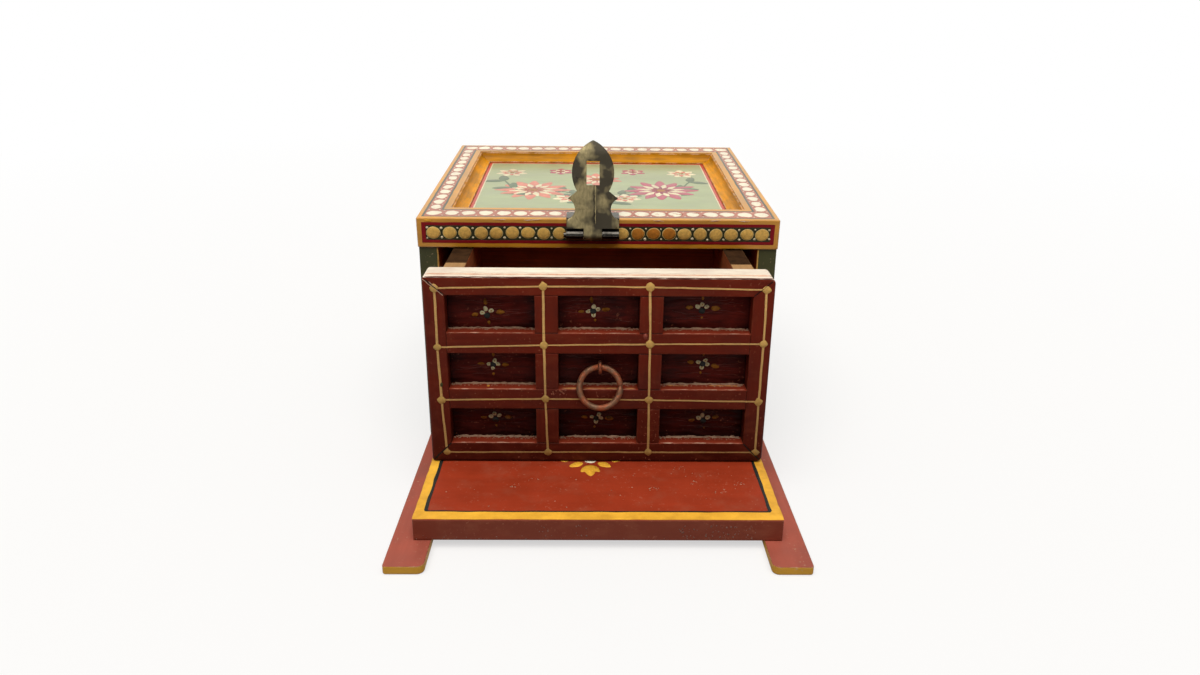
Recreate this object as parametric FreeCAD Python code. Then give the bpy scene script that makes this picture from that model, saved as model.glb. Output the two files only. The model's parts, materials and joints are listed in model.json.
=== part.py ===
import FreeCAD, Part
import math
import os

from FreeCAD import Placement, Rotation, Vector

# Painted wooden trinket box with a sloping hinged lid, a hasp and one deep drawer.
# Millimetres. X to the right, Y to the back, Z up.
# The origin is on the floor, at the middle of the two runners.

# Runners and base board
runner_width = 19.0
runner_thick = 4.4
runner_reach = 21.5
runner_round = 0.9
runner_inner_corner = 3.5
runner_outer_corner = 1.4
base_thick = 11.6
base_ease = 0.8
porch_depth = 113.5

# Carcass
carcass_width = 199.0
carcass_depth = 190.5
opening_height = 104.1
side_thick = 10.5
back_thick = 10.0
guide_height = 12.0
guide_width = 8.35

# Lid
lid_slope = 3.4
lid_gap = 0.3
lid_overhang_front = 1.2
lid_overhang_side = 0.5
lid_thick = 16.7
lid_ease = 0.8
lid_stile_width = 16.5
lid_rail_width = 21.0
picture_thick = 5.0
picture_depth = 6.6
picture_tongue = 4.0

# Cove moulding round the picture
cove_width = 7.2
cove_height = 6.0
cove_lip = 0.9
cove_toe = 1.0

# Drawer
drawer_out = 55.8
drawer_rise = 0.3
drawer_top_gap = 0.9
drawer_end_gap = 0.5
drawer_stop_gap = 0.3
drawer_back_gap = 0.8
drawer_side_thick = 10.8
drawer_bottom_thick = 5.0
front_compartment = 73.5
guide_gap = 0.4

# Drawer front: a backing board with a lattice of bars on it
backing_thick = 8.9
lattice_thick = 8.6
front_left_corner = 1.5
front_right_corner = 3.0
front_ease = 1.1
top_rail = 9.6
bottom_rail = 11.0
stile_width = 10.8
muntin_height = 11.2
muntin_width = 11.8
middle_narrowing = 2.4
bar_ease = 0.45

# Pull ring and its eye
ring_radius = 10.45
ring_wire = 1.6
ring_joint = 3.0
ring_lean = 23.0
ring_play = 0.3
eye_wire = 0.9
eye_offset = 0.8
eye_inset = 2.7
eye_lift = 1.5
eye_shank = 1.2
eye_clench = 5.0

# Hasp
hasp_offset = -3.2
hasp_sheet = 1.1
hasp_barrel = 2.75
hasp_pin_radius = 1.3
hasp_pin_height = 8.5
hasp_pin_stub = 1.5
hasp_middle = 10.0
hasp_outer = 9.2
hasp_play = 0.25
hasp_fold = 10.0
hasp_plate_sheet = 1.0
hasp_bottom = 3.2
hasp_half_foot = 14.3
hasp_shoulder = 8.1
hasp_half_waist = 9.8
hasp_waist = 13.5
hasp_half_barb = 13.7
hasp_barb = 19.5
hasp_half_neck = 8.7
hasp_neck = 23.6
hasp_half_leaf = 11.5
hasp_leaf = 33.5
hasp_tip = 50.8
hasp_slot_low = 26.8
hasp_slot_high = 39.9
hasp_slot_width = 7.1
hasp_bend = 0.7
hasp_nail_spacing = 16.0
hasp_nail_inset = 6.0
hasp_nail_length = 5.5

# Lid hinges
hinge_inset = 44.5
hinge_width = 30.0
hinge_middle = 9.6
hinge_leaf = 14.0
hinge_sheet = 1.0
hinge_barrel = 2.4
hinge_pin_radius = 1.2
hinge_play = 0.2
hinge_nail_spacing = 19.0
hinge_nail_height = 8.5

# Nails
nail_radius = 0.7
nail_head = 1.6
nail_head_thick = 0.6
long_nail = 22.0
short_nail = 11.0
base_nail_inset = 22.0
side_nail_inset = 34.0

# Clearances between pieces that turn on each other
swing_gap = 0.3
pin_gap = 0.05

# Places worked out from the sizes
runner_length = runner_reach + porch_depth + carcass_depth + runner_reach
front_y = -runner_length / 2 + runner_reach + porch_depth
back_y = front_y + carcass_depth
porch_y = front_y - porch_depth
carcass_half = carcass_width / 2
opening_half = carcass_half - side_thick
base_top = runner_thick + base_thick
slope = math.radians(lid_slope)
lid_under_z = base_top + opening_height
lid_front_y = front_y - lid_overhang_front
lid_depth = (carcass_depth + lid_overhang_front) / math.cos(slope)
lid_half = carcass_half + lid_overhang_side
picture_top = lid_thick - picture_depth
front_thick = backing_thick + lattice_thick
drawer_front_y = front_y - drawer_out
drawer_low = base_top + drawer_rise
drawer_top = lid_under_z - drawer_top_gap
drawer_front_half = opening_half - drawer_end_gap
drawer_half = opening_half - guide_width - guide_gap
drawer_inner_half = drawer_half - drawer_side_thick
drawer_back_y = drawer_front_y + carcass_depth - back_thick - drawer_back_gap
backing_y = drawer_front_y + lattice_thick
chamber_y = drawer_front_y + front_thick
divider_y = chamber_y + front_compartment
drawer_floor = drawer_low + drawer_bottom_thick

nodes = {}


def block(x_range, y_range, z_range):
    """A box between two corners."""
    low = Vector(x_range[0], y_range[0], z_range[0])
    return Part.makeBox(
        x_range[1] - x_range[0],
        y_range[1] - y_range[0],
        z_range[1] - z_range[0],
        low,
    )


def prism(points, travel):
    """A closed outline of straight edges, pushed along a vector."""
    outline = Part.makePolygon(list(points) + [points[0]])
    return Part.Face(outline).extrude(travel)


def rod(radius, start, end):
    """A round bar from one point to another."""
    run = end - start
    return Part.makeCylinder(radius, run.Length, start, run)


def edges_where(shape, test):
    """The straight edges whose two ends and middle pass a test on their points."""
    chosen = []
    for edge in shape.Edges:
        middle = edge.valueAt((edge.FirstParameter + edge.LastParameter) / 2)
        points = [vertex.Point for vertex in edge.Vertexes] + [middle]
        if all(test(point) for point in points):
            chosen.append(edge)
    return chosen


def near(a, b):
    return abs(a - b) < 1e-6


def nail(head_at, into, length, sunk):
    """A round nail: its head lies on the surface, or flush in it when sunk."""
    direction = Vector(into).normalize()
    seat = head_at + direction * nail_head_thick if sunk else head_at
    head = rod(nail_head, seat - direction * nail_head_thick, seat)
    shank = rod(nail_radius, seat, seat + direction * length)
    return head.fuse(shank).removeSplitter()


def without(shape, others):
    """A shape with room cut in it for other solids."""
    return shape.cut(others)


def on_lid(shape):
    """Carries a shape from the lid's own level frame to its sloping place."""
    seat = Placement(
        Vector(0, lid_front_y, lid_under_z),
        Rotation(Vector(1, 0, 0), lid_slope),
    )
    placed = shape.copy()
    placed.Placement = seat.multiply(shape.Placement)
    return placed


def lid_point(y, z):
    """Where a point of the lid's own frame lies in the box's frame."""
    return (
        lid_front_y + y * math.cos(slope) - z * math.sin(slope),
        lid_under_z + y * math.sin(slope) + z * math.cos(slope),
    )


def carcass_top(y):
    """Height of the carcass's top edge, under the sloping lid."""
    return lid_under_z - lid_gap + (y - lid_front_y) * math.tan(slope)


# Runners, with the corners of their ends rounded off
def make_runner(side):
    outer = side * carcass_half
    inner = side * (carcass_half - runner_width)
    runner = block(
        sorted((inner, outer)),
        (-runner_length / 2, runner_length / 2),
        (0, runner_thick),
    )
    for x, radius in ((inner, runner_inner_corner), (outer, runner_outer_corner)):
        corners = edges_where(runner, lambda p: near(p.x, x) and near(abs(p.y), runner_length / 2))
        runner = runner.makeFillet(radius, corners)
    sole = [face for face in runner.Faces if near(face.CenterOfMass.z, 0)]
    return runner.makeFillet(runner_round, sole[0].Edges)


def runner_nail_points():
    """Under each runner: a row into the base board and a row into the side board."""
    base_x = (opening_half + carcass_half - runner_width) / 2
    side_x = opening_half + side_thick / 2
    base_rows = (porch_y + base_nail_inset, front_y, back_y - base_nail_inset)
    side_rows = (front_y + base_nail_inset, back_y - base_nail_inset)
    points = []
    for side in (-1, 1):
        points += [Vector(side * base_x, y, 0) for y in base_rows]
        points += [Vector(side * side_x, y, 0) for y in side_rows]
    return points


runner_nails = [nail(p, (0, 0, 1), short_nail, True) for p in runner_nail_points()]


# Side nails go through the side boards into the base board and the back board
def side_nail_points():
    base_z = runner_thick + base_thick / 2
    base_rows = (front_y + side_nail_inset, (front_y + back_y) / 2, back_y - side_nail_inset)
    back_row = back_y - back_thick / 2
    heights = (base_top + base_nail_inset, carcass_top(back_row) - base_nail_inset)
    return [(y, base_z) for y in base_rows] + [(back_row, z) for z in heights]


side_nails = []
for side in (-1, 1):
    for y, z in side_nail_points():
        side_nails.append(nail(Vector(side * carcass_half, y, z), (-side, 0, 0), long_nail, True))

carcass_nails = runner_nails + side_nails
nodes["left_runner"] = without(make_runner(-1), runner_nails)
nodes["right_runner"] = without(make_runner(1), runner_nails)
nodes["runner_nails"] = Part.makeCompound(runner_nails)
nodes["side_nails"] = Part.makeCompound(side_nails)


# Base board: the floor of the box, standing out in front of it as a porch
base_board = block((-opening_half, opening_half), (porch_y, back_y), (runner_thick, base_top))
base_board = base_board.makeFillet(
    base_ease,
    edges_where(base_board, lambda p: near(p.y, porch_y)),
)
nodes["base_board"] = without(base_board, carcass_nails)


# Side boards, with sloping tops
def make_side(side):
    outline = [
        Vector(0, front_y, runner_thick),
        Vector(0, back_y, runner_thick),
        Vector(0, back_y, carcass_top(back_y)),
        Vector(0, front_y, carcass_top(front_y)),
    ]
    board = prism(outline, Vector(side * side_thick, 0, 0))
    board.translate(Vector(side * opening_half, 0, 0))
    return without(board, carcass_nails)


nodes["left_side"] = make_side(-1)
nodes["right_side"] = make_side(1)


# Lid hinges: an upright pair on the back, each with two leaves and a pin
hinge_half = carcass_half - hinge_inset
hinge_axis_lid = (lid_depth + hinge_barrel + swing_gap, -lid_gap / 2)
hinge_y, hinge_z = lid_point(*hinge_axis_lid)


def barrel(radius, x_low, x_high, y, z):
    return rod(radius, Vector(x_low, y, z), Vector(x_high, y, z))


def hinge_nails_at(x, y, z, into):
    """The two nails of one leaf."""
    nails = []
    for offset in (-hinge_nail_spacing / 2, hinge_nail_spacing / 2):
        nails.append(nail(Vector(x + offset, y, z), into, short_nail, False))
    return nails


def make_body_leaf(x):
    """The leaf on the back board, with the two outer knuckles."""
    low = x - hinge_width / 2
    high = x + hinge_width / 2
    sheet = block((low, high), (back_y, back_y + hinge_sheet), (hinge_z - hinge_leaf, hinge_z))
    knuckles = barrel(hinge_barrel, low, high, hinge_y, hinge_z)
    middle_low = x - hinge_middle / 2 - hinge_play
    middle_high = x + hinge_middle / 2 + hinge_play
    notch = barrel(hinge_barrel + swing_gap, middle_low, middle_high, hinge_y, hinge_z)
    pin = barrel(hinge_pin_radius, low, high, hinge_y, hinge_z)
    return sheet.fuse(knuckles).cut([notch, pin]).removeSplitter()


def make_lid_leaf(x):
    """The leaf on the lid's back edge, with the middle knuckle, in the lid's own frame."""
    low = x - hinge_width / 2
    high = x + hinge_width / 2
    y, z = hinge_axis_lid
    sheet = block((low, high), (lid_depth, lid_depth + hinge_sheet), (z, z + hinge_leaf))
    outer = []
    for start, end in ((low, x - hinge_middle / 2), (x + hinge_middle / 2, high)):
        outer.append(barrel(hinge_barrel + swing_gap, start, end, y, z))
    knuckle = barrel(hinge_barrel, x - hinge_middle / 2, x + hinge_middle / 2, y, z)
    bore = barrel(hinge_pin_radius + pin_gap, low, high, y, z)
    return sheet.cut(outer).fuse(knuckle).cut(bore).removeSplitter()


body_hinge_nails = []
lid_hinge_nails = []
for side in (-1, 1):
    x = side * hinge_half
    body_nail_z = hinge_z - hinge_nail_height
    body_hinge_nails += hinge_nails_at(x, back_y + hinge_sheet, body_nail_z, (0, -1, 0))
    lid_hinge_nails += hinge_nails_at(x, lid_depth + hinge_sheet, hinge_nail_height, (0, -1, 0))

for side, word in ((-1, "left"), (1, "right")):
    x = side * hinge_half
    pin_low = Vector(x - hinge_width / 2, hinge_y, hinge_z)
    pin_high = Vector(x + hinge_width / 2, hinge_y, hinge_z)
    nodes[word + "_hinge_body_leaf"] = without(make_body_leaf(x), body_hinge_nails)
    nodes[word + "_hinge_lid_leaf"] = on_lid(without(make_lid_leaf(x), lid_hinge_nails))
    nodes[word + "_hinge_pin"] = rod(hinge_pin_radius, pin_low, pin_high)

nodes["body_hinge_nails"] = Part.makeCompound(body_hinge_nails)
nodes["lid_hinge_nails"] = on_lid(Part.makeCompound(lid_hinge_nails))


# Back board, between the sides and on the base board
back_outline = [
    Vector(-opening_half, back_y - back_thick, base_top),
    Vector(-opening_half, back_y, base_top),
    Vector(-opening_half, back_y, carcass_top(back_y)),
    Vector(-opening_half, back_y - back_thick, carcass_top(back_y - back_thick)),
]
back_board = prism(back_outline, Vector(2 * opening_half, 0, 0))
nodes["back_board"] = without(back_board, side_nails + body_hinge_nails)


# Drawer guides: strips beside the drawer that also stop its front
for side, word in ((-1, "left"), (1, "right")):
    nodes[word + "_drawer_guide"] = block(
        sorted((side * (opening_half - guide_width), side * opening_half)),
        (front_y + front_thick + drawer_stop_gap, back_y - back_thick),
        (base_top, base_top + guide_height),
    )


# Hasp: a plate folded over the lid's front edge, a tongue and the pin between them
hasp_y = -hasp_barrel - swing_gap
hasp_z = hasp_pin_height
hasp_half = hasp_middle / 2 + hasp_play + hasp_outer
hasp_top = lid_thick + hasp_plate_sheet
hasp_shift = Vector(hasp_offset, 0, 0)


def hasp_lean():
    """How far the tongue leans back, in degrees, onto the plate's folded corner."""
    corner_y = -hasp_plate_sheet - hasp_y
    corner_z = hasp_top - hasp_z
    offset = hasp_barrel - hasp_sheet - swing_gap
    reach = math.hypot(corner_y, corner_z)
    return math.degrees(math.atan2(corner_y, corner_z) + math.asin(offset / reach))


hasp_nails = []
for side in (-1, 1):
    head_at = hasp_shift + Vector(side * hasp_nail_spacing / 2, hasp_nail_inset, hasp_top)
    hasp_nails.append(nail(head_at, (0, 0, -1), hasp_nail_length, False))


def make_hasp_plate():
    """The fixed leaf, in the lid's own frame."""
    wide = (-hasp_half, hasp_half)
    upright = block(wide, (-hasp_plate_sheet, 0), (hasp_z, hasp_top))
    fold = block(wide, (-hasp_plate_sheet, hasp_fold), (lid_thick, hasp_top))
    plate = upright.fuse(fold).removeSplitter()
    bend = edges_where(plate, lambda p: near(p.y, -hasp_plate_sheet) and near(p.z, hasp_top))
    plate = plate.makeFillet(hasp_bend, bend)
    middle = hasp_middle / 2 + hasp_play
    knuckles = barrel(hasp_barrel, -hasp_half, hasp_half, hasp_y, hasp_z)
    notch = barrel(hasp_barrel + swing_gap, -middle, middle, hasp_y, hasp_z)
    pin = barrel(hasp_pin_radius, -hasp_half, hasp_half, hasp_y, hasp_z)
    plate = plate.fuse(knuckles).cut([notch, pin]).removeSplitter()
    plate.translate(hasp_shift)
    return without(plate, hasp_nails)


def hasp_outline():
    """The tongue's outline, as heights and half widths about its pin."""
    right = [
        Part.LineSegment(Vector(hasp_half_foot, 0, hasp_bottom), Vector(hasp_half_foot, 0, hasp_shoulder)),
        Part.Arc(
            Vector(hasp_half_foot, 0, hasp_shoulder),
            Vector(hasp_half_waist, 0, hasp_waist),
            Vector(hasp_half_barb, 0, hasp_barb),
        ),
        Part.LineSegment(Vector(hasp_half_barb, 0, hasp_barb), Vector(hasp_half_neck, 0, hasp_neck)),
        Part.Arc(
            Vector(hasp_half_neck, 0, hasp_neck),
            Vector(hasp_half_leaf, 0, hasp_leaf),
            Vector(0, 0, hasp_tip),
        ),
    ]
    edges = [curve.toShape() for curve in right]
    mirrored = [edge.mirror(Vector(0, 0, 0), Vector(1, 0, 0)) for edge in edges]
    foot = Part.LineSegment(Vector(-hasp_half_foot, 0, hasp_bottom), Vector(hasp_half_foot, 0, hasp_bottom))
    loop = Part.__sortEdges__(edges + mirrored + [foot.toShape()])
    return Part.Face(Part.Wire(loop))


def make_hasp_tongue():
    """The swinging leaf, upright about its pin."""
    tongue = hasp_outline().extrude(Vector(0, hasp_sheet, 0))
    tongue.translate(Vector(0, -hasp_barrel, 0))
    half = hasp_middle / 2
    strip = block((-half, half), (-hasp_barrel, hasp_sheet - hasp_barrel), (0, hasp_bottom))
    knuckle = barrel(hasp_barrel, -half, half, 0, 0)
    bore = barrel(hasp_pin_radius + pin_gap, -half, half, 0, 0)
    slot = block(
        (-hasp_slot_width / 2, hasp_slot_width / 2),
        (-2 * hasp_barrel, 0),
        (hasp_slot_low, hasp_slot_high),
    )
    return tongue.fuse([strip, knuckle]).cut([bore, slot]).removeSplitter()


hasp_tongue = make_hasp_tongue()
hasp_tongue.rotate(Vector(0, 0, 0), Vector(1, 0, 0), -hasp_lean())
hasp_tongue.translate(Vector(0, hasp_y, hasp_z) + hasp_shift)
nodes["hasp_tongue"] = on_lid(hasp_tongue)
nodes["hasp_plate"] = on_lid(make_hasp_plate())
nodes["hasp_nails"] = on_lid(Part.makeCompound(hasp_nails))
hasp_pin = barrel(hasp_pin_radius, -hasp_half - hasp_pin_stub, hasp_half, hasp_y, hasp_z)
hasp_pin.translate(hasp_shift)
nodes["hasp_pin"] = on_lid(hasp_pin)


# Lid frame: two rails and two stiles, mitred, grooved for the picture board
lid_blank = block((-lid_half, lid_half), (0, lid_depth), (0, lid_thick))
lid_blank = lid_blank.makeFillet(
    lid_ease,
    edges_where(lid_blank, lambda p: near(p.z, lid_thick))
    + edges_where(lid_blank, lambda p: near(abs(p.x), lid_half) and (near(p.y, 0) or near(p.y, lid_depth))),
)
lid_inner_half = lid_half - lid_stile_width
lid_inner_front = lid_rail_width
lid_inner_back = lid_depth - lid_rail_width
picture_board = block(
    (-lid_inner_half - picture_tongue, lid_inner_half + picture_tongue),
    (lid_inner_front - picture_tongue, lid_inner_back + picture_tongue),
    (picture_top - picture_thick, picture_top),
)
nodes["picture_board"] = on_lid(picture_board)

outer_corners = [(-lid_half, 0), (lid_half, 0), (lid_half, lid_depth), (-lid_half, lid_depth)]
inner_corners = [
    (-lid_inner_half, lid_inner_front),
    (lid_inner_half, lid_inner_front),
    (lid_inner_half, lid_inner_back),
    (-lid_inner_half, lid_inner_back),
]
lid_frame_names = ("lid_front_rail", "lid_right_stile", "lid_back_rail", "lid_left_stile")
for index, name in enumerate(lid_frame_names):
    after = (index + 1) % len(lid_frame_names)
    corners = [outer_corners[index], outer_corners[after], inner_corners[after], inner_corners[index]]
    member = prism([Vector(x, y, 0) for x, y in corners], Vector(0, 0, lid_thick))
    member = member.common(lid_blank)
    nodes[name] = on_lid(without(member, [picture_board] + lid_hinge_nails + hasp_nails))


# Cove mouldings, mitred round the picture, hollow side up
def make_cove(length):
    """One strip along +X from a corner, its back against the frame at y = 0."""
    high = picture_top + cove_height
    toe = picture_top + cove_toe
    bend_y = cove_lip + (cove_width - cove_lip) * (1 - math.sin(math.pi / 4))
    bend_z = toe + (high - toe) * (1 - math.cos(math.pi / 4))
    points = {
        "foot": Vector(0, 0, picture_top),
        "back": Vector(0, 0, high),
        "lip": Vector(0, cove_lip, high),
        "hollow": Vector(0, bend_y, bend_z),
        "toe": Vector(0, cove_width, toe),
        "edge": Vector(0, cove_width, picture_top),
    }
    outline = [
        Part.LineSegment(points["foot"], points["back"]),
        Part.LineSegment(points["back"], points["lip"]),
        Part.Arc(points["lip"], points["hollow"], points["toe"]),
        Part.LineSegment(points["toe"], points["edge"]),
        Part.LineSegment(points["edge"], points["foot"]),
    ]
    profile = Part.Face(Part.Wire([curve.toShape() for curve in outline]))
    mitre = prism(
        [
            Vector(0, 0, 0),
            Vector(length, 0, 0),
            Vector(length - cove_width, cove_width, 0),
            Vector(cove_width, cove_width, 0),
        ],
        Vector(0, 0, lid_thick),
    )
    return profile.extrude(Vector(length, 0, 0)).common(mitre)


cove_names = ("front_cove", "right_cove", "back_cove", "left_cove")
for index, name in enumerate(cove_names):
    start = inner_corners[index]
    end = inner_corners[(index + 1) % len(cove_names)]
    cove = make_cove(math.dist(start, end))
    cove.rotate(Vector(0, 0, 0), Vector(0, 0, 1), 90 * index)
    cove.translate(Vector(start[0], start[1], 0))
    nodes[name] = on_lid(cove)


# Drawer front: rounded blank that the lattice's bars are cut from
def make_front(y_range):
    """A board of the drawer front's outline, rounder at its right corners than at its left ones."""
    board = block((-drawer_front_half, drawer_front_half), y_range, (drawer_low, drawer_top))
    for x, radius in ((-drawer_front_half, front_left_corner), (drawer_front_half, front_right_corner)):
        corners = edges_where(board, lambda p: near(p.x, x) and (near(p.z, drawer_low) or near(p.z, drawer_top)))
        board = board.makeFillet(radius, corners)
    return board


lattice_blank = make_front((drawer_front_y, backing_y))
front_face = [face for face in lattice_blank.Faces if near(face.CenterOfMass.y, drawer_front_y)]
lattice_blank = lattice_blank.makeFillet(front_ease, front_face[0].Edges)

row_height = (drawer_top - drawer_low - top_rail - bottom_rail - 2 * muntin_height) / 3
row_lows = [drawer_low + bottom_rail + row * (row_height + muntin_height) for row in range(3)]
inner_half = drawer_front_half - stile_width
inner_low = row_lows[0]
inner_high = drawer_top - top_rail
middle_recess = (2 * inner_half - 2 * muntin_width) / 3 - middle_narrowing


def make_bar(corners):
    """A bar of the lattice between four corners, given as x and z, with eased front edges."""
    outline = [Vector(x, drawer_front_y, z) for x, z in corners]
    bar = prism(outline, Vector(0, lattice_thick, 0))
    front_edges = edges_where(bar, lambda p: near(p.y, drawer_front_y))
    return bar.makeFillet(bar_ease, front_edges).common(lattice_blank)


front_corners = [
    (-drawer_front_half, drawer_low),
    (drawer_front_half, drawer_low),
    (drawer_front_half, drawer_top),
    (-drawer_front_half, drawer_top),
]
recess_corners = [
    (-inner_half, inner_low),
    (inner_half, inner_low),
    (inner_half, inner_high),
    (-inner_half, inner_high),
]
front_names = ("front_bottom_rail", "front_right_stile", "front_top_rail", "front_left_stile")
for index, name in enumerate(front_names):
    after = (index + 1) % len(front_names)
    corners = [front_corners[index], front_corners[after], recess_corners[after], recess_corners[index]]
    nodes[name] = make_bar(corners)

for row, name in ((1, "lower_muntin"), (2, "upper_muntin")):
    low = row_lows[row] - muntin_height
    high = row_lows[row]
    nodes[name] = make_bar([(-inner_half, low), (inner_half, low), (inner_half, high), (-inner_half, high)])

for row, height_word in enumerate(("bottom", "middle", "top")):
    for side, side_word in ((-1, "left"), (1, "right")):
        near_x = side * middle_recess / 2
        far_x = side * (middle_recess / 2 + muntin_width)
        low_x, high_x = sorted((near_x, far_x))
        low_z = row_lows[row]
        high_z = low_z + row_height
        corners = [(low_x, low_z), (high_x, low_z), (high_x, high_z), (low_x, high_z)]
        nodes[height_word + "_" + side_word + "_muntin"] = make_bar(corners)


# Pull ring on an eye, driven through the backing in the middle recess
eye_y = drawer_front_y + eye_inset
eye_z = row_lows[1] + row_height / 2 + eye_lift
eye_radius = ring_wire + ring_play + eye_wire
eye_at = Vector(eye_offset, eye_y, eye_z)
clench_y = chamber_y + eye_wire
eye_loop = Part.makeTorus(eye_radius, eye_wire, eye_at, Vector(1, 0, 0))
shank = rod(eye_shank, Vector(eye_offset, eye_y + eye_radius, eye_z), Vector(eye_offset, clench_y, eye_z))
clench_low = Vector(eye_offset, clench_y, eye_z - eye_clench)
clench_high = Vector(eye_offset, clench_y, eye_z + eye_clench)
nodes["ring_eye"] = eye_loop.fuse([shank, rod(eye_wire, clench_low, clench_high)]).removeSplitter()

wire_section = Part.Face(Part.Wire(Part.makeCircle(ring_wire, Vector(ring_radius, 0, 0), Vector(0, 0, 1))))
pull_ring = wire_section.revolve(Vector(0, 0, 0), Vector(0, 1, 0), 360 - ring_joint)
pull_ring.translate(Vector(0, 0, -ring_radius))
pull_ring.rotate(Vector(0, 0, 0), Vector(1, 0, 0), -ring_lean)
pull_ring.translate(eye_at)
nodes["pull_ring"] = pull_ring

nodes["drawer_backing"] = without(make_front((backing_y, chamber_y)), [nodes["ring_eye"]])


# Drawer box: bottom, two sides, back and a cross divider, nailed through the sides
def drawer_nail_points():
    upright_z = (drawer_floor + base_nail_inset, drawer_top - base_nail_inset)
    uprights = (divider_y + drawer_side_thick / 2, drawer_back_y - drawer_side_thick / 2)
    bottom_rows = (chamber_y + base_nail_inset, drawer_back_y - base_nail_inset)
    points = [(y, z) for y in uprights for z in upright_z]
    return points + [(y, drawer_low + drawer_bottom_thick / 2) for y in bottom_rows]


drawer_nails = []
for side in (-1, 1):
    for y, z in drawer_nail_points():
        drawer_nails.append(nail(Vector(side * drawer_half, y, z), (-side, 0, 0), long_nail, True))
nodes["drawer_nails"] = Part.makeCompound(drawer_nails)

across = (-drawer_inner_half, drawer_inner_half)
drawer_pieces = {
    "drawer_left_side": block(
        (-drawer_half, -drawer_inner_half), (chamber_y, drawer_back_y), (drawer_low, drawer_top)),
    "drawer_right_side": block(
        (drawer_inner_half, drawer_half), (chamber_y, drawer_back_y), (drawer_low, drawer_top)),
    "drawer_bottom": block(across, (chamber_y, drawer_back_y), (drawer_low, drawer_floor)),
    "drawer_divider": block(
        across, (divider_y, divider_y + drawer_side_thick), (drawer_floor, drawer_top)),
    "drawer_back": block(
        across, (drawer_back_y - drawer_side_thick, drawer_back_y), (drawer_floor, drawer_top)),
}
for name, board in drawer_pieces.items():
    nodes[name] = without(board, drawer_nails)


os.makedirs("parts", exist_ok=True)
for name, shape in nodes.items():
    if not shape.isValid():
        raise ValueError(name + " is not a valid shape")
    shape.exportStep("parts/" + name + ".step")

hasp_place = lid_point(hasp_y, hasp_z)
print("pieces", len(nodes))
print("lid hinge at y, z:", round(hinge_y, 3), round(hinge_z, 3))
print("hasp hinge at y, z:", round(hasp_place[0], 3), round(hasp_place[1], 3))
print("hasp leans back", round(hasp_lean() - lid_slope, 2), "degrees")
print("ring eye at y, z:", round(eye_y, 3), round(eye_z, 3))
print("recess rows from z:", [round(z, 2) for z in row_lows], "height", round(row_height, 2))
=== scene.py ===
"""Painted trinket box: the finish of its boards and fittings, and the ornament painted on them by hand."""

import json
import math
import random

import bmesh
import bpy
from mathutils import Matrix, Vector, noise


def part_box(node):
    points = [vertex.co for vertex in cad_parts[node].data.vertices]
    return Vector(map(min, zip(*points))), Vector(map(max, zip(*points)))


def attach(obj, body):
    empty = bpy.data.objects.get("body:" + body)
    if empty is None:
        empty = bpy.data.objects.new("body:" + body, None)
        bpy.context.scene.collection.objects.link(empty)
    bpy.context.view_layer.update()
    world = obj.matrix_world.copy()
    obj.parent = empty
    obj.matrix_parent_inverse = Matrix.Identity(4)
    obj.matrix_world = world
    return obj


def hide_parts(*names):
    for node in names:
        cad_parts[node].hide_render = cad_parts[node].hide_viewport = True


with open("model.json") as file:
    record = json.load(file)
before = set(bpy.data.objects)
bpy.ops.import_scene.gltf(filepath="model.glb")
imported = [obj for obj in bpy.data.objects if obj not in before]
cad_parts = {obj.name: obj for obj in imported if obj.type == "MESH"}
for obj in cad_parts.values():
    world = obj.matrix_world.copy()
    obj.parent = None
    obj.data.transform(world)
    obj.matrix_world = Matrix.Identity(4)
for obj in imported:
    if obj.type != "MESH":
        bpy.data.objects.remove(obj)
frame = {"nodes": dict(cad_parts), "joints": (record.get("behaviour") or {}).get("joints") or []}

bl_info = {
    "name": "Painted Trinket Box",
    "version": (1, 0, 0),
    "blender": (4, 5, 0),
    "location": "3D View > Sidebar > Trinket Box",
    "description": "Paints the boards, fittings and ornament of a wooden trinket box",
    "category": "Object",
}

MM = 0.001
# How deep a film of paint reaches into the surface under it, and how high a thin one stands
SINK = 0.03 * MM
FILM = 0.05 * MM
# Copies in one film of paint lie this many millimetres above each other, and start again after so many
LAP_RISE = 0.003
LAPS = 11
SMOOTH_ANGLE = math.radians(40)
# How far a ribbon's sharp corners may widen, and how much of its width a streak has at its ends
MITRE_LIMIT = 0.3
STREAK_END = 0.3
RIGHT = (1, 0, 0)
LEFT = (-1, 0, 0)
BACK = (0, 1, 0)
FRONT = (0, -1, 0)
UP = (0, 0, 1)
DOWN = (0, 0, -1)
# The hand that paints is unsteady in the same way each run
HAND_SEED = 1
noise.seed_set(HAND_SEED)
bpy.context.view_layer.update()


# Places, worked out from the frame
def face_at(origin, right, up):
    """A flat painting surface: its own x runs right, its own y runs up, and its own z points out."""
    right = Vector(right)
    up = Vector(up)
    axes = Matrix((right, up, right.cross(up))).transposed().to_4x4()
    return Matrix.Translation(origin) @ axes


def box_in(node, turn):
    """Lowest and highest corner of a node in a turned frame."""
    back = turn.inverted()
    points = [back @ vertex.co for vertex in frame["nodes"][node].data.vertices]
    low = Vector([min(p[axis] for p in points) for axis in range(3)])
    high = Vector([max(p[axis] for p in points) for axis in range(3)])
    return low, high


def broad_slope(node):
    """How far a board's broad upper face leans up to the back."""
    faces = [face for face in frame["nodes"][node].data.polygons if face.normal.z > 0]
    normal = max(faces, key=lambda face: face.area).normal
    return math.atan2(-normal.y, normal.z)


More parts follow.
